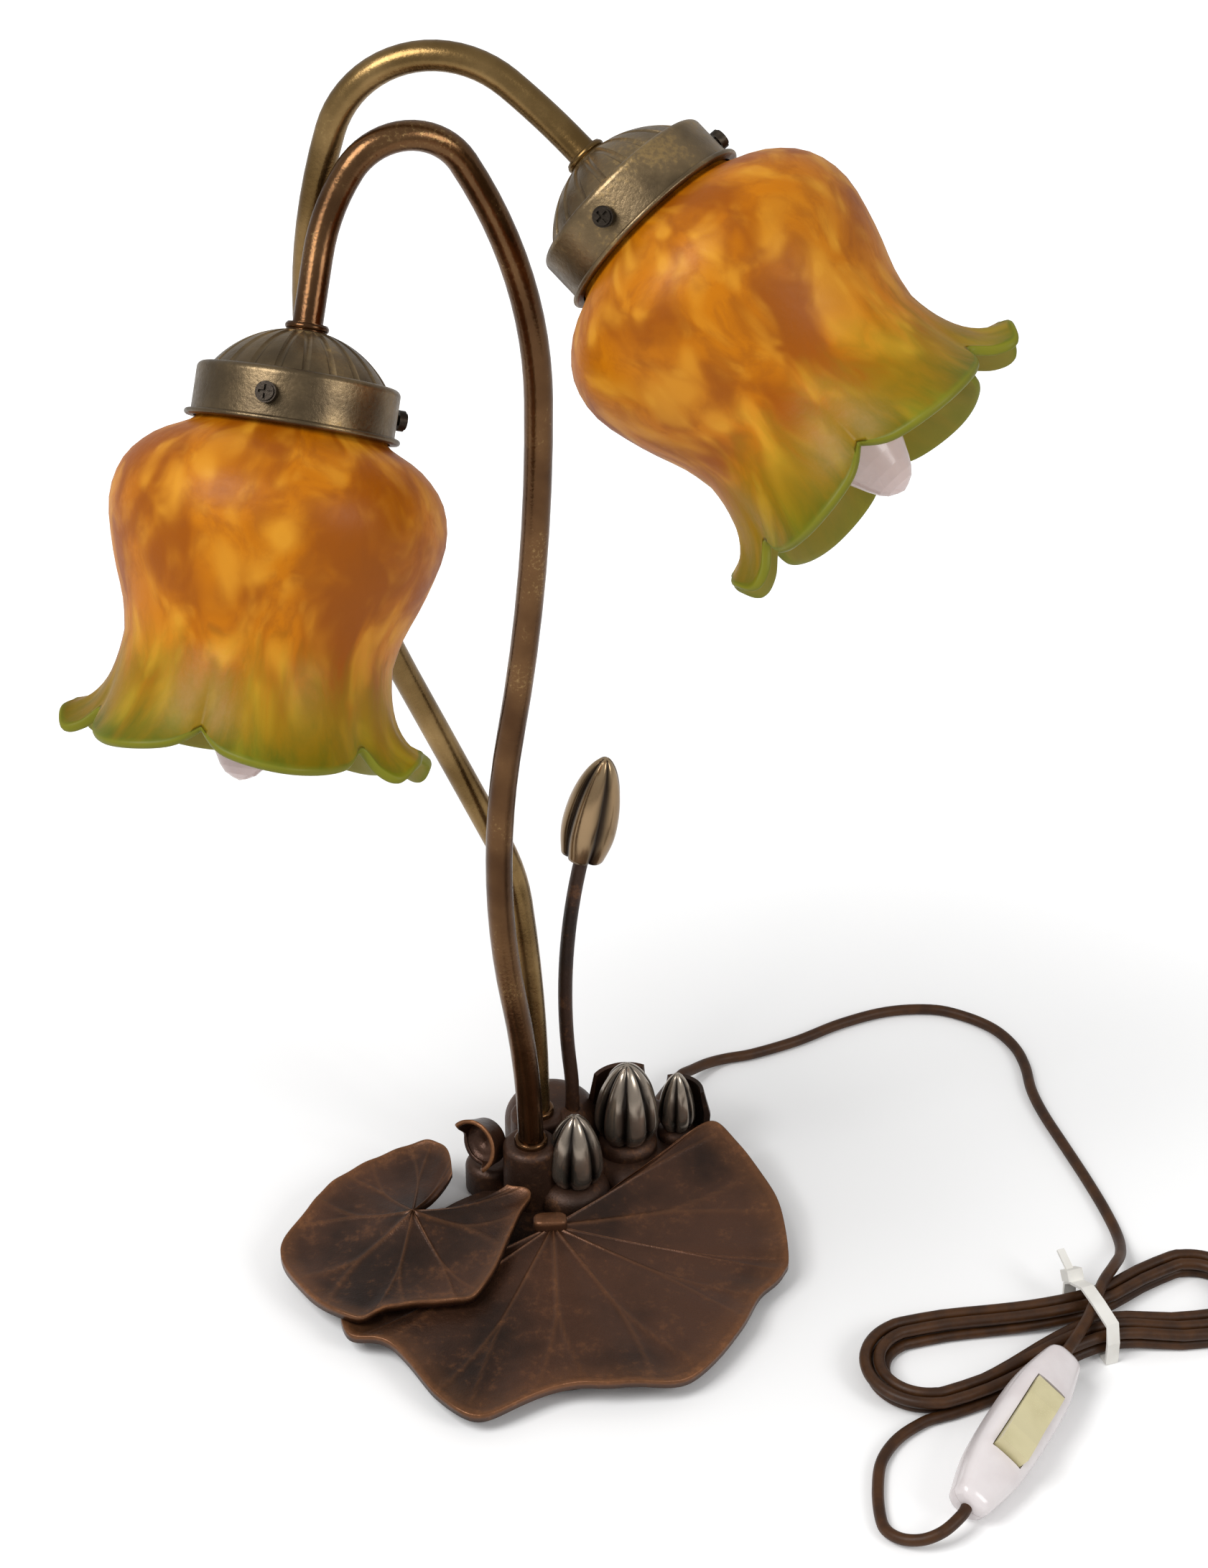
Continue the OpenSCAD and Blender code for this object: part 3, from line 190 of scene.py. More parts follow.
def make_patina(name, dark, mid, worn, metal, low, high, wear=None):
    """Patinated casting: dark hollows, brown body, and worn metal on what stands out."""
    f = Finish(name)
    clouds = f.noise(24.0, 5.0, 0.55)
    specks = f.noise(420.0, 4.0, 0.65)
    base = f.mix(clouds.between(0.28, 0.66), dark, mid)
    rubbed = (f.noise(95.0, 5.0, 0.62) * 0.55 + specks * 0.45).between(0.52, 0.66) * 0.35
    if wear:
        rubbed = (rubbed * 0.6 + f.kept(wear) * (0.30 + specks * 0.7)).clamp()
    base = f.mix(rubbed, base, worn)
    rough = f.spread(specks * 0.5 + clouds * 0.5, low, high)
    skin = f.bump(specks * 0.6 + f.noise(1400.0, 3.0, 0.6) * 0.4, 0.0005, 0.55)
    return f.surface(base, rough, metal, skin)


def make_shade_glass():
    """Satin art glass: amber spots that stretch into streaks, running to a green mouth."""
    f = Finish("shade_glass")
    down = f.kept("down")
    flow = f.add("ShaderNodeAttribute", {"attribute_name": "flow"}, {}, "Vector")
    bent = f.add("ShaderNodeTexNoise", {}, {"Vector": flow, "Scale": 2.6, "Detail": 1.0}, "Color")
    bent = f.add("ShaderNodeVectorMath", {"operation": "SUBTRACT"}, {0: bent, 1: (0.5, 0.5, 0.5)})
    bent = f.add("ShaderNodeVectorMath", {"operation": "SCALE"}, {0: bent, "Scale": 0.34})
    flow = f.add("ShaderNodeVectorMath", {"operation": "ADD"}, {0: flow, 1: bent})
    cell = f.cells(4.4, flow)
    small = f.cells(8.5, flow)
    cloud = f.noise(2.2, 3.0, 0.5, flow)
    streak = f.noise(7.0, 4.0, 0.6, flow)
    grain = f.noise(620.0, 3.0, 0.6)
    spot = 1 - cell.between(0.16, 0.50)
    fleck = 1 - small.between(0.16, 0.46)
    light = (spot * 0.75 + fleck * 0.35) * cloud.between(0.34, 0.56)
    colour = f.mix(cloud.between(0.36, 0.62), tone(146, 76, 3), tone(184, 108, 5))
    colour = f.mix(light.clamp() * 0.8, colour, tone(206, 142, 38))
    colour = f.mix((1 - spot) * streak.between(0.40, 0.66) * 0.45, colour, tone(140, 74, 8))
    reach = down + (streak - 0.5) * 0.26 + (cloud - 0.5) * 0.16
    olive = f.mix(light, tone(134, 104, 6), tone(164, 132, 26))
    green = f.mix(light, tone(62, 84, 5), tone(110, 118, 18))
    colour = f.mix(reach.between(0.60, 0.86) * 0.88, colour, olive)
    colour = f.mix(reach.between(0.82, 1.06) * 0.9, colour, green)
    colour = f.mix(f.kept("edge") * 0.8, colour, tone(110, 112, 26))
    colour = f.mix(f.kept("inside") * 0.6, colour, tone(136, 126, 44))
    rough = f.spread(streak * 0.6 + grain * 0.4, 0.34, 0.50)
    skin = f.bump(streak * 0.7 + grain * 0.3, 0.0005, 0.3)
    return f.surface(colour, rough, 0.0, skin, Specular_IOR_Level=0.14, Coat_Weight=0.03,
                     Coat_Roughness=0.3)


def make_bud_metal(name, groove, crest, worn):
    """Polished petals with dark metal left in the grooves between them."""
    f = Finish(name)
    fine = f.noise(800.0, 3.0, 0.5)
    cloud = f.noise(90.0, 3.0, 0.5)
    colour = f.mix((f.kept("lobe") + (cloud - 0.5) * 0.25).between(0.10, 0.95), groove, crest)
    colour = f.mix((f.kept("raised") * (0.4 + cloud)).clamp() * 0.5, colour, worn)
    rough = f.spread(fine * 0.3 + cloud * 0.7, 0.16, 0.26)
    return f.surface(colour, rough, 0.85, f.bump(fine, 0.0001, 0.15))


def make_brass(name, dark, light, worn, low, high):
    """Clouded metal with brighter, worn spots."""
    f = Finish(name)
    fine = f.noise(900.0, 3.0, 0.6)
    cloud = f.noise(34.0, 4.0, 0.5)
    colour = f.mix(cloud.between(0.30, 0.70), dark, light)
    colour = f.mix((fine * 0.5 + cloud * 0.5).between(0.56, 0.7) * 0.35, colour, worn)
    rough = f.spread(fine * 0.4 + cloud * 0.6, low, high, 0.35, 0.65)
    return f.surface(colour, rough, 0.92, f.bump(fine, 0.0003, 0.25))


def make_cap_bronze():
    """Metal of the caps and galleries, with brass showing through in places."""
    f = Finish("cap_bronze")
    fine = f.noise(700.0, 4.0, 0.6)
    cloud = f.noise(50.0, 4.0, 0.5)
    colour = f.mix(cloud.between(0.30, 0.70), tone(88, 74, 54), tone(132, 112, 82))
    colour = f.mix((cloud * 0.6 + fine * 0.4).between(0.55, 0.68) * 0.6, colour, tone(172, 142, 90))
    rough = f.spread(fine, 0.26, 0.42)
    return f.surface(colour, rough, 0.82, f.bump(fine, 0.0004, 0.3))


def make_plastic(name, light, shade, low, high, coat=0.0):
    """Moulded plastic, a little uneven in its colour."""
    f = Finish(name)
    cloud = f.noise(70.0, 3.0, 0.5)
    fine = f.noise(1600.0, 2.0, 0.5)
    colour = f.mix(cloud.between(0.35, 0.7), light, shade)
    rough = f.spread(cloud * 0.5 + fine * 0.5, low, high)
    return f.surface(colour, rough, 0.0, f.bump(fine, 0.00012, 0.3), Coat_Weight=coat,
                     Coat_Roughness=0.12)


def make_opal():
    """Milk glass of the bulbs."""
    f = Finish("bulb_glass")
    cloud = f.noise(40.0, 3.0, 0.5)
    fine = f.noise(1200.0, 3.0, 0.6)
    colour = f.mix(cloud.between(0.3, 0.7), tone(214, 192, 186), tone(198, 176, 172))
    return f.surface(colour, cloud * 0.1 + 0.22, 0.0, f.bump(fine, 0.0001, 0.2),
                     Subsurface_Weight=0.2, Subsurface_Radius=(0.008, 0.006, 0.005),
                     Coat_Weight=0.3, Coat_Roughness=0.1)


def make_felt():
    """Black felt with its hairs."""
    f = Finish("felt")
    hair = f.noise(2600.0, 5.0, 0.75)
    cloud = f.noise(90.0, 4.0, 0.6)
    colour = f.mix(hair, tone(18, 16, 14), tone(52, 47, 42))
    return f.surface(colour, cloud * 0.1 + 0.88, 0.0, f.bump(hair, 0.0012, 0.8))


def make_flex():
    """Brown sheath of the cord and the plug."""
    f = Finish("flex")
    cloud = f.noise(120.0, 4.0, 0.6)
    fine = f.noise(1900.0, 3.0, 0.6)
    colour = f.mix(cloud.between(0.35, 0.66), tone(52, 29, 10), tone(70, 41, 15))
    return f.surface(colour, fine * 0.15 + 0.38, 0.0, f.bump(fine, 0.0002, 0.3),
                     Specular_IOR_Level=0.3)


finish = {
    "felt": make_felt(),
    "plate_steel": make_brass("plate_steel", tone(120, 120, 122), tone(150, 150, 152),
                              tone(176, 176, 176), 0.3, 0.45),
    "cast_bronze": make_patina("cast_bronze", tone(38, 26, 19), tone(74, 49, 35),
                               tone(138, 92, 56), 0.5, 0.36, 0.55),
    "leaf_bronze": make_patina("leaf_bronze", tone(38, 25, 18), tone(86, 56, 40),
                               tone(154, 102, 62), 0.55, 0.28, 0.44, "raised"),
    "bud_bronze": make_bud_metal("bud_bronze", tone(28, 22, 19), tone(154, 141, 127),
                                 tone(210, 198, 182)),
    "head_bronze": make_bud_metal("head_bronze", tone(42, 31, 22), tone(156, 129, 96),
                                  tone(208, 184, 146)),
    "antique_brass": make_brass("antique_brass", tone(76, 51, 31), tone(112, 81, 52),
                                tone(200, 168, 112), 0.15, 0.28),
    # A lighter copy of the arms' brass for the right arm and its neck ring: painted light, for that
    # arm catching more light than the left one
    "brass_painted_lit": make_brass("brass_painted_lit", tone(108, 84, 48), tone(156, 127, 82),
                             tone(206, 176, 116), 0.22, 0.36),
    "cap_bronze": make_cap_bronze(),
    "screw_bronze": make_brass("screw_bronze", tone(34, 30, 26), tone(62, 54, 46),
                               tone(110, 98, 80), 0.3, 0.45),
    "bulb_glass": make_opal(),
    "bulb_metal": make_brass("bulb_metal", tone(176, 150, 100), tone(200, 176, 124),
                             tone(220, 204, 160), 0.2, 0.3),
    "holder_plastic": make_plastic("holder_plastic", tone(34, 31, 28), tone(44, 40, 36), 0.4, 0.55),
    "block_plastic": make_plastic("block_plastic", tone(212, 204, 176), tone(200, 190, 160),
                                  0.45, 0.6),
    "flex": make_flex(),
    "switch_white": make_plastic("switch_white", tone(226, 219, 219), tone(216, 207, 207),
                                 0.16, 0.26, 0.4),
    "rocker_cream": make_plastic("rocker_cream", tone(212, 202, 160), tone(200, 190, 148),
                                 0.2, 0.3, 0.3),
    "tie_white": make_plastic("tie_white", tone(232, 230, 224), tone(220, 217, 210), 0.5, 0.65),
    "shade_glass": make_shade_glass(),
}


# ---- making pieces ----

def make_piece(name, points, faces, look, node=None, stored=None, turn=None):
    """A mesh piece in millimetres, smooth, with numbers stored on its points."""
    mesh = bpy.data.meshes.new(name)
    mesh.from_pydata([[v * MM for v in p] for p in points], [], faces)
    if turn is not None:
        mesh.transform(turn)
    mesh.polygons.foreach_set("use_smooth", [True] * len(mesh.polygons))
    for key, values in (stored or {}).items():
        if key == "flow":
            flat = [v for place in values for v in place]
            mesh.attributes.new(key, "FLOAT_VECTOR", "POINT").data.foreach_set("vector", flat)
        else:
            mesh.attributes.new(key, "FLOAT", "POINT").data.foreach_set("value", values)
    mesh.materials.append(finish[look])
    mesh.update()
    piece = bpy.data.objects.new(name, mesh)
    bpy.context.scene.collection.objects.link(piece)
    if node:
        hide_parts(*([node] if isinstance(node, str) else node))
    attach(piece, LAMP)
    return piece


def ring_faces(rings, side):
    """Faces between stacked rings of side points each."""
    return [(j * side + k, j * side + (k + 1) % side, (j + 1) * side + (k + 1) % side,
             (j + 1) * side + k) for j in range(rings - 1) for k in range(side)]


def loop_faces(sections, m):
    """Faces between closed sections of m points each, set round a closed loop."""
    return [(k * m + i, (k + 1) % sections * m + i, (k + 1) % sections * m + (i + 1) % m,
             k * m + (i + 1) % m) for k in range(sections) for i in range(m)]


def tube_piece(name, line, radius, look, replaced):
    """A round cord along line, in millimetres, as a curve of one open spline."""
    curve = bpy.data.curves.new(name, "CURVE")
    curve.dimensions = "3D"
    curve.bevel_depth = radius * MM
    curve.bevel_resolution = 5
    curve.use_fill_caps = True
    spline = curve.splines.new("POLY")
    spline.points.add(len(line) - 1)
    for point, p in zip(spline.points, line):
        point.co = (p[0] * MM, p[1] * MM, p[2] * MM, 1.0)
    spline.use_smooth = True
    curve.materials.append(finish[look])
    piece = bpy.data.objects.new(name, curve)
    bpy.context.scene.collection.objects.link(piece)
    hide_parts(*replaced)
    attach(piece, LAMP)
    return piece


# ---- cords: the same routes as the solids ----

cord_d = 4.0
gland_from = Vector((44, 72, 7))
gland_way = Vector((cos(radians(66)), sin(radians(66)), 0))
gland_end = gland_from + 20 * gland_way
switch_at = Vector((160, -98.4, 10.9))
switch_l = 76
switch_way = Vector((cos(radians(60.3)) * cos(radians(3)), sin(radians(60.3)) * cos(radians(3)),
                     sin(radians(3))))
switch_far = switch_at + switch_l / 2 * switch_way
switch_near = switch_at - switch_l / 2 * switch_way
hank_at = Vector((191.5, -39, 0))
hank_way = Vector((cos(radians(20)), sin(radians(20)), 0))
hank_side = Vector((-sin(radians(20)), cos(radians(20)), 0))
hank_left, hank_right = 62, 40
fold_r = 3.05 * cord_d
loop_step = layer_step = 1.18 * cord_d
waist_pull = fold_r - 0.57 * cord_d
tie_under = 1.9
hank_turns = 4.25
turn_back = hank_turns / 2


def hank_point(t):
    """Point of the hank after t turns: a run out, a fold, a run back and a fold."""
    q = t % 1
    w = fold_r + loop_step * abs(t - turn_back)
    run = hank_left + hank_right

    def waist(x):
        return cos(radians(90 * (-x / hank_left if x < 0 else x / hank_right))) ** 2
    if q < 0.25:
        x = -hank_left + run * q * 4
        x, y = x, -(w - waist_pull * waist(x))
    elif q < 0.5:
        a = radians(-90 + 720 * (q - 0.25))
        x, y = hank_right + w * cos(a), w * sin(a)
    elif q < 0.75:
        x = hank_right - run * (q - 0.5) * 4
        y = w - waist_pull * waist(x)
    else:
        a = radians(90 + 720 * (q - 0.75))
        x, y = -hank_left + w * cos(a), w * sin(a)
    climb = ease((t - turn_back) / 0.2 + 0.5)
    z = cord_d / 2 + layer_step * climb + (tie_under * waist(x) ** 2 if t % 0.5 < 0.25 else 0)
    return hank_at + x * hank_way + y * hank_side + Vector((0, 0, z))


def hank_line():
    steps = [0, 0.035, 0.07, 0.10, 0.13, 0.155, 0.18, 0.215] + [0.25 + k / 64 for k in range(16)]
    turn = steps + [0.5 + s for s in steps]
    line = [hank_point(n + s) for n in range(4) for s in turn]
    line += [hank_point(4 + s) for s in steps[:8]] + [hank_point(hank_turns)]
    return [list(p) for p in line]


lamp_route = [list(gland_end), list(gland_end + cord_d * gland_way),
              [57.5, 98.5, 5.4], [63.5, 105, 3.4], [70.5, 109.5, 2.1], [81, 112.6, 2],
              [98, 120.5, 2], [115, 131, 2], [133, 138.5, 2], [150, 140, 2], [162, 136, 2],
              [173, 128, 2], [180, 117, 2], [183, 105, 2], [184, 91, 2], [187, 77, 2],
              [193, 58, 2], [199, 39, 2], [204, 21, 2], [206.5, 7, 2.6], [205.5, -6, 6.5],
              [201.5, -17.5, 11], [196, -29, 13], list(switch_far + 20 * switch_way),
              list(switch_far + cord_d * switch_way), list(switch_far)]
switch_route = [list(switch_near), list(switch_near - cord_d * switch_way),
                [133.5, -139.8, 7], [127, -141.5, 5], [120.4, -139.8, 3.4], [115.6, -135, 2.4],
                [114, -128, 2], [114, -116, 2], [116, -103.5, 2], [122, -93, 2], [131, -85.2, 2],
                list(hank_point(0) - cord_d * hank_way), list(hank_point(0))]
hank_end = hank_point(hank_turns)
plug_route = [list(hank_end), list(hank_end + 14 * hank_way), list(hank_end + 27 * hank_way)]


# ---- switch in the cord: two rounded halves that meet at a fine seam ----

switch_w, switch_h = 21, 17
opening_l, opening_w = 33 / 2 + 0.8, 11.4 / 2 + 0.4
switch_place = (Matrix.Translation(switch_at * MM) @ Matrix.Rotation(radians(60.3), 4, "Z")
                @ Matrix.Rotation(radians(-3), 4, "Y") @ Matrix.Rotation(radians(34), 4, "X"))


def barrel(mid, end, corner):
    """Half width along the switch: mid at its middle, end at its ends, with round corners."""
    half = switch_l / 2
    return [[-half, end / 2 - corner], [-half + corner * 0.3, end / 2 - corner * 0.3],
            [-half + corner, end / 2], [-half / 2, mid * 0.47], [0, mid / 2],
            [half / 2, mid * 0.47], [half - corner, end / 2],
            [half - corner * 0.3, end / 2 - corner * 0.3], [half, end / 2 - corner]]


def reach_at(line, x):
    """Second value of the line where its first is x."""
    for (x0, r0), (x1, r1) in zip(line, line[1:]):
        if x <= x1:
            return along(r0, r1, max(0.0, min(1.0, (x - x0) / (x1 - x0))))
    return line[-1][1]


def make_switch_half(name, node, up, open_top):
    """One half of the switch's shell: a shaped sheet over a flat one, open at the rocker."""
    wide = open_curve(barrel(switch_w, 14, 4), 8)
    high = open_curve(barrel(switch_h, 12, 3), 8)
    half, squareness, nose, seam = switch_l / 2, 3.3, 0.8, 0.07
    at_nose, to_opening, at_opening = 4, 14, 24
    before = at_nose + to_opening
    xs = [-half + nose * k / at_nose for k in range(at_nose)]
    xs += [along(-half + nose, -opening_l, k / to_opening) for k in range(to_opening)]
    xs += [along(-opening_l, opening_l, k / at_opening) for k in range(at_opening)]
    xs += [-x for x in reversed(xs[:before])]
    points, faces = [], []
    rows, side, middle = len(xs), 12, 6
    across = 2 * side + middle + 1
    for layer in (0, 1):
        for x in xs:
            w, h = reach_at(wide, x), reach_at(high, x)
            inner = min(opening_w, 0.6 * w)
            ys = [-inner - (w - inner) * cos(pi / 2 * k / side) for k in range(side)]
            ys += [along(-inner, inner, k / middle) for k in range(middle)]
            ys += [inner] + [-y for y in reversed(ys[:side])]
            for y in ys:
                rise = h * max(0.0, 1 - abs(y / w) ** squareness) ** (1 / squareness)
                points.append((x, y, up * (seam + (rise if layer == 0 else 0))))
    m = rows * across

    def cut(i, j):
        return open_top and before <= i < before + at_opening and side <= j < side + middle
    for i in range(rows - 1):
        for j in range(across - 1):
            a, b = i * across + j, (i + 1) * across + j
            if not cut(i, j):
                faces += [(a, b, b + 1, a + 1), (m + a, m + a + 1, m + b + 1, m + b)]
                for (u, v), other in (((a, b), (i, j - 1)), ((b + 1, a + 1), (i, j + 1)),
                                      ((a + 1, a), (i - 1, j)), ((b, b + 1), (i + 1, j))):
                    outside = not (0 <= other[0] < rows - 1 and 0 <= other[1] < across - 1)
                    if outside or cut(*other):
                        faces.append((v, u, m + u, m + v))
    piece = make_piece(name, points, faces, "switch_white", node, None,
                       switch_place)
    piece.data.set_sharp_from_angle(angle=radians(38))
    return piece


def on_table(line):
    """The line lifted to where the cord lies on the table."""
    return [[p[0], p[1], max(p[2], cord_d / 2)] for p in line]


def lay_cords():
    lamp_line = on_table(open_curve(lamp_route, 6))
    lead = tube_piece("lamp_side_cord", lamp_line, cord_d / 2, "flex", ["lamp_cord"])
    mains_line = on_table(open_curve(switch_route, 6)[:-1] + open_curve(hank_line(), 2)[:-1]
                          + plug_route)
    mains = tube_piece("mains_side_cord", mains_line, cord_d / 2, "flex",
                       ["switch_cord", "cord_hank", "plug_cord"])
    [v * MM for v in lamp_line[0]]
    make_switch_half("switch_cover", "switch_upper", 1, True)
    make_switch_half("switch_back", "switch_lower", -1, False)
    [v * MM for v in mains_line[0]]


lay_cords()


# ---- arms give the heads their places ----

left_arm = ((-1, 27, 28), [(-158, 400, 9.5), (168, 350, 18.5), (180, 750, 9.5), (-3, 165, 29.5),
                           (13, 20.5, 114), (55, 54, 28)], 20)
right_arm = ((1, 44, 28), [(-139, 700, 8), (-46, 96, 16.5), (112, 610, 7.5), (95, 360, 22.5),
                           (-2, 190, 18), (-29, 33, 112), (-88, 83, 19)], 2)
stem = ((13.5, 47, 35), [(180, 120, 6), (180, 300, 17.5)], 2)


def arm_end(foot, bends, straight):
    """Frame at the end of a tube bent from [roll, radius, angle], in metres."""
    at = Matrix.Translation(Vector(foot) * MM)
    for roll, r, angle in bends:
        a = radians(angle)
        at = at @ Matrix.Rotation(radians(roll), 4, "Z")
        at = at @ Matrix.Translation((r * MM * (1 - cos(a)), 0, r * MM * sin(a)))
        at = at @ Matrix.Rotation(a, 4, "Y")
    return at @ Matrix.Translation((0, 0, straight * MM))


left_head = arm_end(*left_arm)
right_head = arm_end(*right_arm)
stem_end = arm_end(*stem)


# ---- ruffled shades ----

glass_t = 2.8
lip_z = 29.4
lip_t = 1.8
shade_l = 92
bulge_r, waist_r, rim_r, ruffle = 49.4, 39.4, 49, 8
neck_r = 28
shade_top = lip_z - 9
rim_z = lip_z + shade_l + 6
waist_z = lip_z + shade_l * 0.72
flare_z = lip_z + shade_l * 0.94
shade_line = [[neck_r, shade_top], [neck_r, lip_z + lip_t - 0.6],
              [neck_r + 1.6, lip_z + lip_t + 1.4], [bulge_r - 10, lip_z + 8.4],
              [bulge_r - 2.4, lip_z + 17], [bulge_r, lip_z + 29], [bulge_r - 3.4, lip_z + 44],
              [waist_r + 1.8, waist_z - 9], [waist_r, waist_z]]
# A quarter of the rim: angle, share of the ruffle outwards, distance above the lowest edge
rim_shape = [[0, 0.85, 9.5], [7, 0.8, 6.5], [13, 0.6, 1.5], [20, 0, 3], [26, -0.6, 8],
             [36, -0.2, 2.5], [58, 0.25, 0], [79, -0.2, 2], [90, -0.8, 7.5]]


def rim_round(steps):
    quarter = open_curve(rim_shape, steps)
    half = quarter[:-1] + [[180 - a, out, up] for a, out, up in reversed(quarter)][:-1]
    return half + [[a + 180, out, up] for a, out, up in half]


def glass_line(out, up):
    """Outer line of the glass from its neck to the rim."""
    flare = []
    for k in range(1, 13):
        t = k / 12
        r = (1 - t) ** 2 * waist_r + 2 * t * (1 - t) * (waist_r + 1) + t * t * (rim_r + ruffle * out)
        z = (1 - t) ** 2 * waist_z + 2 * t * (1 - t) * flare_z + t * t * (rim_z - up)
        flare.append([r, z])
    return shade_line[:2] + open_curve(shade_line[1:], 3)[1:] + flare


def shade_section(out, up):
    """Closed section: outer line, rounded edge, inner line; with its stored numbers."""
    line = glass_line(out, up)
    ways, last = [], len(line) - 1
    for i in range(len(line)):
        a, b = line[max(i - 1, 0)], line[min(i + 1, last)]
        n = dist(a, b)
        ways.append(((b[0] - a[0]) / n, (b[1] - a[1]) / n))
    outer = [(r, z, max(0.0, (z - lip_z) / (rim_z - lip_z)), 0.0, 0.0) for r, z in line]
    inner = [(r - glass_t * w[1], z + glass_t * w[0], max(0.0, (z - lip_z) / (rim_z - lip_z)), 0.0,
              1.0) for (r, z), w in zip(line, ways)]
    (r, z), (wr, wz) = line[last], ways[last]
    edge = []
    for k in range(1, 6):
        a = pi * k / 6
        across, beyond = (1 - cos(a)) * glass_t / 2, sin(a) * glass_t / 2
        edge.append((r - across * wz + (beyond - glass_t / 2) * wr * 0.9,
                     z + across * wr + (beyond - glass_t / 2) * wz * 0.9, 1.0, 1.0, 0.3))
    trim = glass_t / 2 * 0.9
    outer[-1] = (outer[-1][0] - trim * wr, outer[-1][1] - trim * wz, 1.0, 0.55, 0.0)
    inner[-1] = (inner[-1][0] - trim * wr, inner[-1][1] - trim * wz, 1.0, 0.3, 1.0)
    return outer + edge + list(reversed(inner))


def pull_ear(r, down, from_ear):
    """An ear is pinched at its neck, spreads into a fish-tail and has a gutter along it."""
    near = exp(-(from_ear / 17) ** 4)
    reach = (down - 0.70) / 0.30
    pinch = exp(-((reach - 0.5) / 0.22) ** 2)
    spread = 0.42 * ease((reach - 0.62) / 0.38) - 0.22 * pinch
    gutter = 2.6 * exp(-(from_ear / 4.5) ** 2) * ease((reach - 0.25) / 0.5)
    return r - gutter * near, from_ear * spread * near


def make_shade(name, node, head, turn):
    points, down, edge, inside, flow = [], [], [], [], []
    columns = rim_round(9)
    for a, out, up in columns:
        from_ear = (a + 90) % 180 - 90
        for r, z, d, e, s in shade_section(out, up):
            r, turned = pull_ear(r, d, from_ear)
            angle = radians(a + turned + 4 * sin(radians(a)) ** 2)
            points.append((r * cos(angle), r * sin(angle), z))
            down.append(d)
            edge.append(e)
            inside.append(s)
            flow.append((cos(angle), sin(angle), 2.3 * d - 0.8 * d * d))
    faces = loop_faces(len(columns), len(points) // len(columns))
    place = head @ Matrix.Rotation(radians(turn), 4, "Z")
    return make_piece(name, points, faces, "shade_glass", node,
                      {"down": down, "edge": edge, "inside": inside, "flow": flow}, place)


make_shade("left_tulip", "left_shade", left_head, -19)
make_shade("right_tulip", "right_shade", right_head, 66)


# ---- leaves ----

large_rim = [[27, 18.8, 13], [47, 36.5, 17], [63, 47, 21.5], [74, 38, 17], [86, 15, 12.5],
             [89, -10, 10], [87, -19, 8.5], [78, -31, 8], [71, -48, 9], [54, -71, 8],
             [30, -76, 10.5], [8, -77, 9], [-16, -89, 7.5], [-31, -79, 8], [-47, -56, 9],
             [-62, -50, 8.2], [-66, -36, 8.2]]
small_rim = [[-29, 23, 17.5], [-31, 35, 18], [-38, 42, 17], [-49, 39.5, 15],
             [-61, 32, 14.5], [-72, 22, 14], [-79, 11, 12.5], [-88, -9, 9.5], [-77, -32, 10.5],
             [-60, -46, 12], [-48, -42, 13.5], [-32, -39.5, 13.5], [-20, -37.5, 14],
             [-12.5, -25, 16.5], [-5.5, -1, 17.5], [-1, 11.5, 18.5], [-9, 15.5, 18.5]]
leaf_t = 2.2
vein_half_width = 0.65
vein_rise = 0.6
lip_rise = 0.3


def leaf_veins(u, t, reach, veins):
    """Height share of the raised veins at u along the rim and t from the middle."""
    best = 0.0
    for at, fork in veins:
        spread = max(0.0, t - 0.5) * fork
        for side in ((-1, 1) if spread > 0 else (0,)):
            gap = abs(u - at - side * spread) * reach * max(t, 0.06)
            best = max(best, exp(-(gap / vein_half_width) ** 2) * ease((1.0 - t) / 0.12 + 0.15))
    return best * (0.45 + 0.55 * (1 - t))


def make_leaf(name, node, mid, rim, sag, veins):
    """A pad drawn from its rim to mid, sagging between, with veins and a worn rim."""
    steps, rows = 16, 34
    edge = open_curve(rim, steps)
    n = len(edge)
    reach = line_length(edge)
    top, raised = [], []
    for j in range(rows + 1):
        t = 1 - (1 - j / rows) ** 1.5 if j else 0.004
        for i, e in enumerate(edge):
            u = i / (n - 1)
            vein = leaf_veins(u, t, reach, veins)
            wave = 0.25 * sin(17 * u * 2 * pi) * ease((t - 0.5) / 0.5)
            z = mid[2] + (e[2] - mid[2]) * t - sag * sin(pi * min(1, t * 1.04)) + 1.4 * t ** 12
            lip = ease((t - 0.955) / 0.03)
            top.append((mid[0] + (e[0] - mid[0]) * t, mid[1] + (e[1] - mid[1]) * t,
                        z + vein_rise * vein + wave
                        + lip_rise * lip * (1 - ease((t - 0.992) / 0.008))))
            raised.append(min(1.0, 0.4 * vein + 0.3 * ease((t - 0.84) / 0.12) + 0.35 * lip))
    m = len(top)
    under = [(x, y, z - leaf_t - (0.8 if k >= m - n else 0.0)) for k, (x, y, z) in enumerate(top)]
    faces = []
    for j in range(rows):
        for i in range(n - 1):
            a, b = j * n + i, (j + 1) * n + i
            faces.append((a, b, b + 1, a + 1))
            faces.append((m + a, m + a + 1, m + b + 1, m + b))
    for i in range(n - 1):
        a = rows * n + i
        faces.append((a, a + m, a + m + 1, a + 1))
        faces.append((i, i + 1, i + 1 + m, i + m))
    for j in range(rows):
        a, b = j * n, (j + 1) * n
        faces.append((a, a + m, b + m, b))
        faces.append((a + n - 1, b + n - 1, b + n - 1 + m, a + n - 1 + m))
    return make_piece(name, top + under, faces, "leaf_bronze", node,
                      {"raised": raised + [0.0] * m})


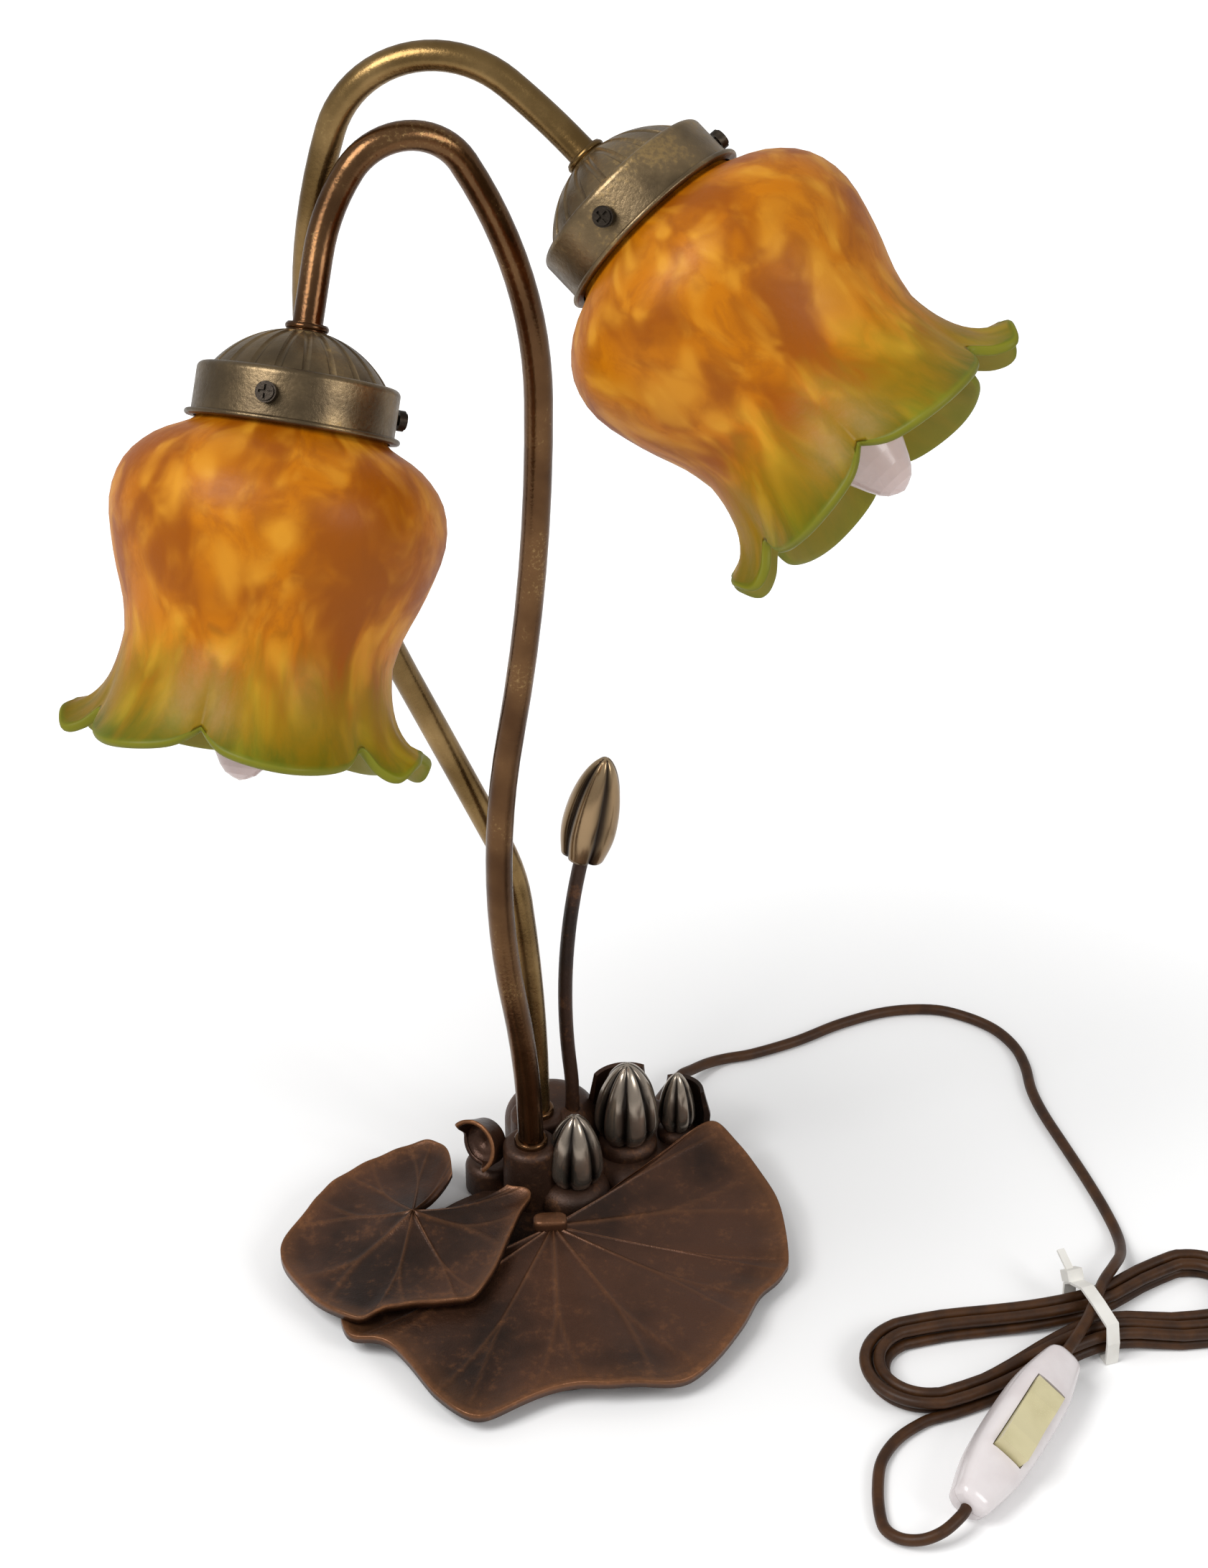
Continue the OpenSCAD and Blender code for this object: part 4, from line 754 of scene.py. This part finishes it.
make_leaf("large_pad", "large_leaf", (7, 0, 14), large_rim, 1.4,
          [(0.02, 0.02), (0.13, 0.05), (0.24, 0.05), (0.35, 0.05), (0.46, 0.05), (0.57, 0.05),
           (0.68, 0.05), (0.79, 0.05), (0.90, 0.04), (0.98, 0.02)])
make_leaf("small_pad", "small_leaf", (-42, 1, 20), small_rim, 2.5,
          [(0.03, 0.02), (0.14, 0.05), (0.26, 0.05), (0.38, 0.05), (0.50, 0.05), (0.62, 0.05),
           (0.74, 0.05), (0.86, 0.05), (0.97, 0.02)])


# ---- buds ----

def bud_swell(t, low):
    """Share of the full radius at t of the height; the bud is widest at low."""
    if t < low:
        return 0.80 + 0.20 * sin(pi / 2 * t / low)
    return max(0.0, 1 - ((t - low) / (1 - low)) ** 2) ** 0.62


def make_bud(name, node, r, h, petals, low, place, look="bud_bronze"):
    """A closed bud, with a groove between each two petals."""
    side, rows, groove = petals * 14, 46, 0.17
    points, raised, lobes = [], [], []
    for j in range(rows + 1):
        t = 0.985 * (1 - (1 - j / rows) ** 1.35)
        for k in range(side):
            a = 2 * pi * k / side
            lobe = abs(sin(petals * a / 2))
            q = r * bud_swell(t, low) * (1 - groove * (1 - lobe) ** 2)
            points.append((q * cos(a), q * sin(a), h * t))
            raised.append(min(1.0, 0.15 + 0.8 * ease((t - 0.75) / 0.25)) * lobe)
            lobes.append(lobe)
    faces = ring_faces(rows + 1, side)
    low_point, top_point = len(points), len(points) + 1
    points += [(0, 0, 0), (0, 0, h * 0.99)]
    raised += [0.0, 1.0]
    lobes += [0.0, 1.0]
    faces += [(low_point, (k + 1) % side, k) for k in range(side)]
    base = rows * side
    faces += [(top_point, base + k, base + (k + 1) % side) for k in range(side)]
    return make_piece(name, points, faces, look, node,
                      {"raised": raised, "lobe": lobes}, place)


def standing(x, y, z, turn):
    """Place of an upright bud, in metres, a little above its solid's foot."""
    return (Matrix.Translation((x * MM, y * MM, (z + 0.2) * MM))
            @ Matrix.Rotation(radians(turn), 4, "Z"))


make_bud("front_bud_cast", "front_bud", 10, 28, 6, 0.2, standing(14.5, 26.5, 14, 18))
make_bud("rear_bud_cast", "rear_bud", 11.6, 31, 7, 0.2, standing(33, 46, 18.6, 8))
make_bud("side_bud_cast", "side_bud", 6.6, 23.5, 6, 0.2, standing(51, 52, 17.2, 24))
make_bud("tall_bud_cast", "bud_head", 9.6, 40, 5, 0.3, stem_end, "head_bronze")


def make_clasp():
    """The small rounded block that the large leaf's veins run from."""
    side = 56
    rings = [(0.96, 12.6), (1.0, 13.2), (1.0, 16.2), (0.97, 16.9), (0.9, 17.4), (0.78, 17.7),
             (0.02, 17.9)]
    points = []
    for share, z in rings:
        for k in range(side):
            c, s = cos(2 * pi * k / side), sin(2 * pi * k / side)
            round_off = (abs(c) ** 4 + abs(s) ** 4) ** -0.25
            points.append((5.9 * share * c * round_off, 3.2 * share * s * round_off, z))
    faces = ring_faces(len(rings), side)
    faces.append(tuple(reversed(range(side))))
    faces.append(tuple((len(rings) - 1) * side + k for k in range(side)))
    worn = [0.0] * (side * 2) + [0.2] * side + [0.55] * (side * 3) + [0.3] * side
    place = Matrix.Translation(Vector((6, 0.5, 0)) * MM) @ Matrix.Rotation(radians(4), 4, "Z")
    return make_piece("leaf_clasp", points, faces, "leaf_bronze", None,
                      {"raised": worn}, place)


make_clasp()


# ---- the young leaf that curls up behind the small one ----

def make_rolled_leaf():
    """A cup that stands higher on one side, tipped towards the viewer."""
    steps, rows = 72, 10
    points, raised = [], []
    for k in range(steps):
        a = 360 * k / steps
        lift = ease((cos(radians(a - 50)) + 0.75) / 0.7)
        front = 1.5 + 8.4 * lift
        wall = []
        for j in range(rows + 1):
            z = front * j / rows
            wall.append((8.6 + 1.5 * (z / 10) ** 1.4, z, ease((z - front + 1.2) / 1.2) * lift))
        for j in range(rows + 1):
            z = front - (front - 1.0) * j / rows
            wall.append((7.2 + 1.4 * (z / 10) ** 1.4, z, 0.7 * ease((z - front + 1.2) / 1.2) * lift))
        wall += [(4.5, 0.5, 0.0), (0.02, 0.3, 0.0)]
        wall.insert(0, (6.0, -0.1, 0.0))
        wall.insert(0, (0.02, -0.2, 0.0))
        for r, z, worn in wall:
            points.append((r * cos(radians(a)), r * sin(radians(a)), z))
            raised.append(worn)
    faces = loop_faces(steps, len(points) // steps)
    place = (Matrix.Translation(Vector((-17.2, 36.4, 22.4)) * MM)
             @ Matrix.Rotation(radians(-35), 4, "Z") @ Matrix.Rotation(radians(70), 4, "X"))
    return make_piece("rolled_leaf_cast", points, faces, "leaf_bronze",
                      "rolled_leaf", {"raised": raised}, place)


make_rolled_leaf()


# ---- finishes of the solids that show as they are ----

def dress(names, look):
    for name in names:
        solid = nodes[name]
        solid.data.materials.clear()
        solid.data.materials.append(finish[look])


dress(["felt_pad"], "felt")
dress(["base_plate", "plate_screws", "foot_washers", "foot_nuts", "stem_nut", "left_head_nut",
       "right_head_nut", "rocker_pin"], "plate_steel")
dress(["base_casting"], "cast_bronze")
dress(["bud_stem"], "cast_bronze")
dress(["left_arm", "foot_rings", "left_neck_ring"], "antique_brass")
# The right arm and its neck ring take the lighter copy of the brass, which is painted light
dress(["right_arm", "right_neck_ring"], "brass_painted_lit")
dress(["left_cap", "right_cap", "left_gallery", "right_gallery"], "cap_bronze")
dress(["left_gallery_screws", "right_gallery_screws"], "screw_bronze")
dress(["left_bulb", "right_bulb"], "bulb_glass")
dress(["left_bulb_cap", "right_bulb_cap", "switch_contacts", "plug_pins"], "bulb_metal")
dress(["left_lampholder", "right_lampholder"], "holder_plastic")
dress(["terminal_block"], "block_plastic")
dress(["left_lead", "right_lead", "inlet_lead", "cord_gland", "plug_body"], "flex")
dress(["switch_screws"], "switch_white")
dress(["switch_rocker"], "rocker_cream")
dress(["hank_tie"], "tie_white")


# ---- studio ----

def make_floor():
    """Pale floor that the camera sees as white away from the lamp's shadow."""
    f = Finish("paper")
    seen = f.add("ShaderNodeLightPath", {}, {}, "Is Camera Ray")
    cloud = f.noise(3.0, 2.0, 0.5)
    colour = f.mix(cloud, (0.88, 0.88, 0.88, 1), (0.92, 0.92, 0.92, 1))
    colour = f.mix(seen, colour, (0.97, 0.97, 0.97, 1))
    away = f.add("ShaderNodeVectorMath", {"operation": "LENGTH"}, {0: f.place}, "Value")
    glow = f.mix(away.between(0.08, 0.6) * seen, (0, 0, 0, 1), (0.5, 0.5, 0.5, 1))
    material = f.surface(colour, cloud * 0.05 + 0.9, 0.0, Emission_Color=glow,
                         Emission_Strength=1.0)
    mesh = bpy.data.meshes.new("floor")
    half = 6.0
    mesh.from_pydata([(-half, -half, 0), (half, -half, 0), (half, half, 0), (-half, half, 0)], [],
                     [(0, 1, 2, 3)])
    mesh.materials.append(material)
    floor = bpy.data.objects.new("floor", mesh)
    bpy.context.scene.collection.objects.link(floor)


def soft_box(name, place, aim, size, power):
    lamp = bpy.data.lights.new(name, "AREA")
    lamp.shape = "RECTANGLE"
    lamp.size, lamp.size_y = size
    lamp.energy = power
    light = bpy.data.objects.new(name, lamp)
    light.location = place
    light.rotation_euler = (Vector(aim) - Vector(place)).to_track_quat("-Z", "Y").to_euler()
    bpy.context.scene.collection.objects.link(light)


def light_studio():
    """White room at a half level, seen as full white, with a key light and a weaker fill."""
    world = bpy.data.worlds.new("studio")
    bpy.context.scene.world = world
    world.use_nodes = True
    tree = world.node_tree
    back = tree.nodes["Background"]
    back.inputs["Color"].default_value = (1, 1, 1, 1)
    seen = tree.nodes.new("ShaderNodeLightPath")
    level = tree.nodes.new("ShaderNodeMath")
    level.operation = "MULTIPLY_ADD"
    level.inputs[1].default_value = 0.5
    level.inputs[2].default_value = 0.5
    tree.links.new(seen.outputs["Is Camera Ray"], level.inputs[0])
    tree.links.new(level.outputs[0], back.inputs["Strength"])
    soft_box("key", (-0.9, -0.7, 1.6), (0, 0, 0.2), (0.9, 0.9), 24)
    soft_box("fill", (1.3, -0.9, 1.1), (0, 0, 0.2), (0.7, 0.7), 8)


make_floor()
light_studio()
bpy.context.scene.view_settings.view_transform = "Standard"
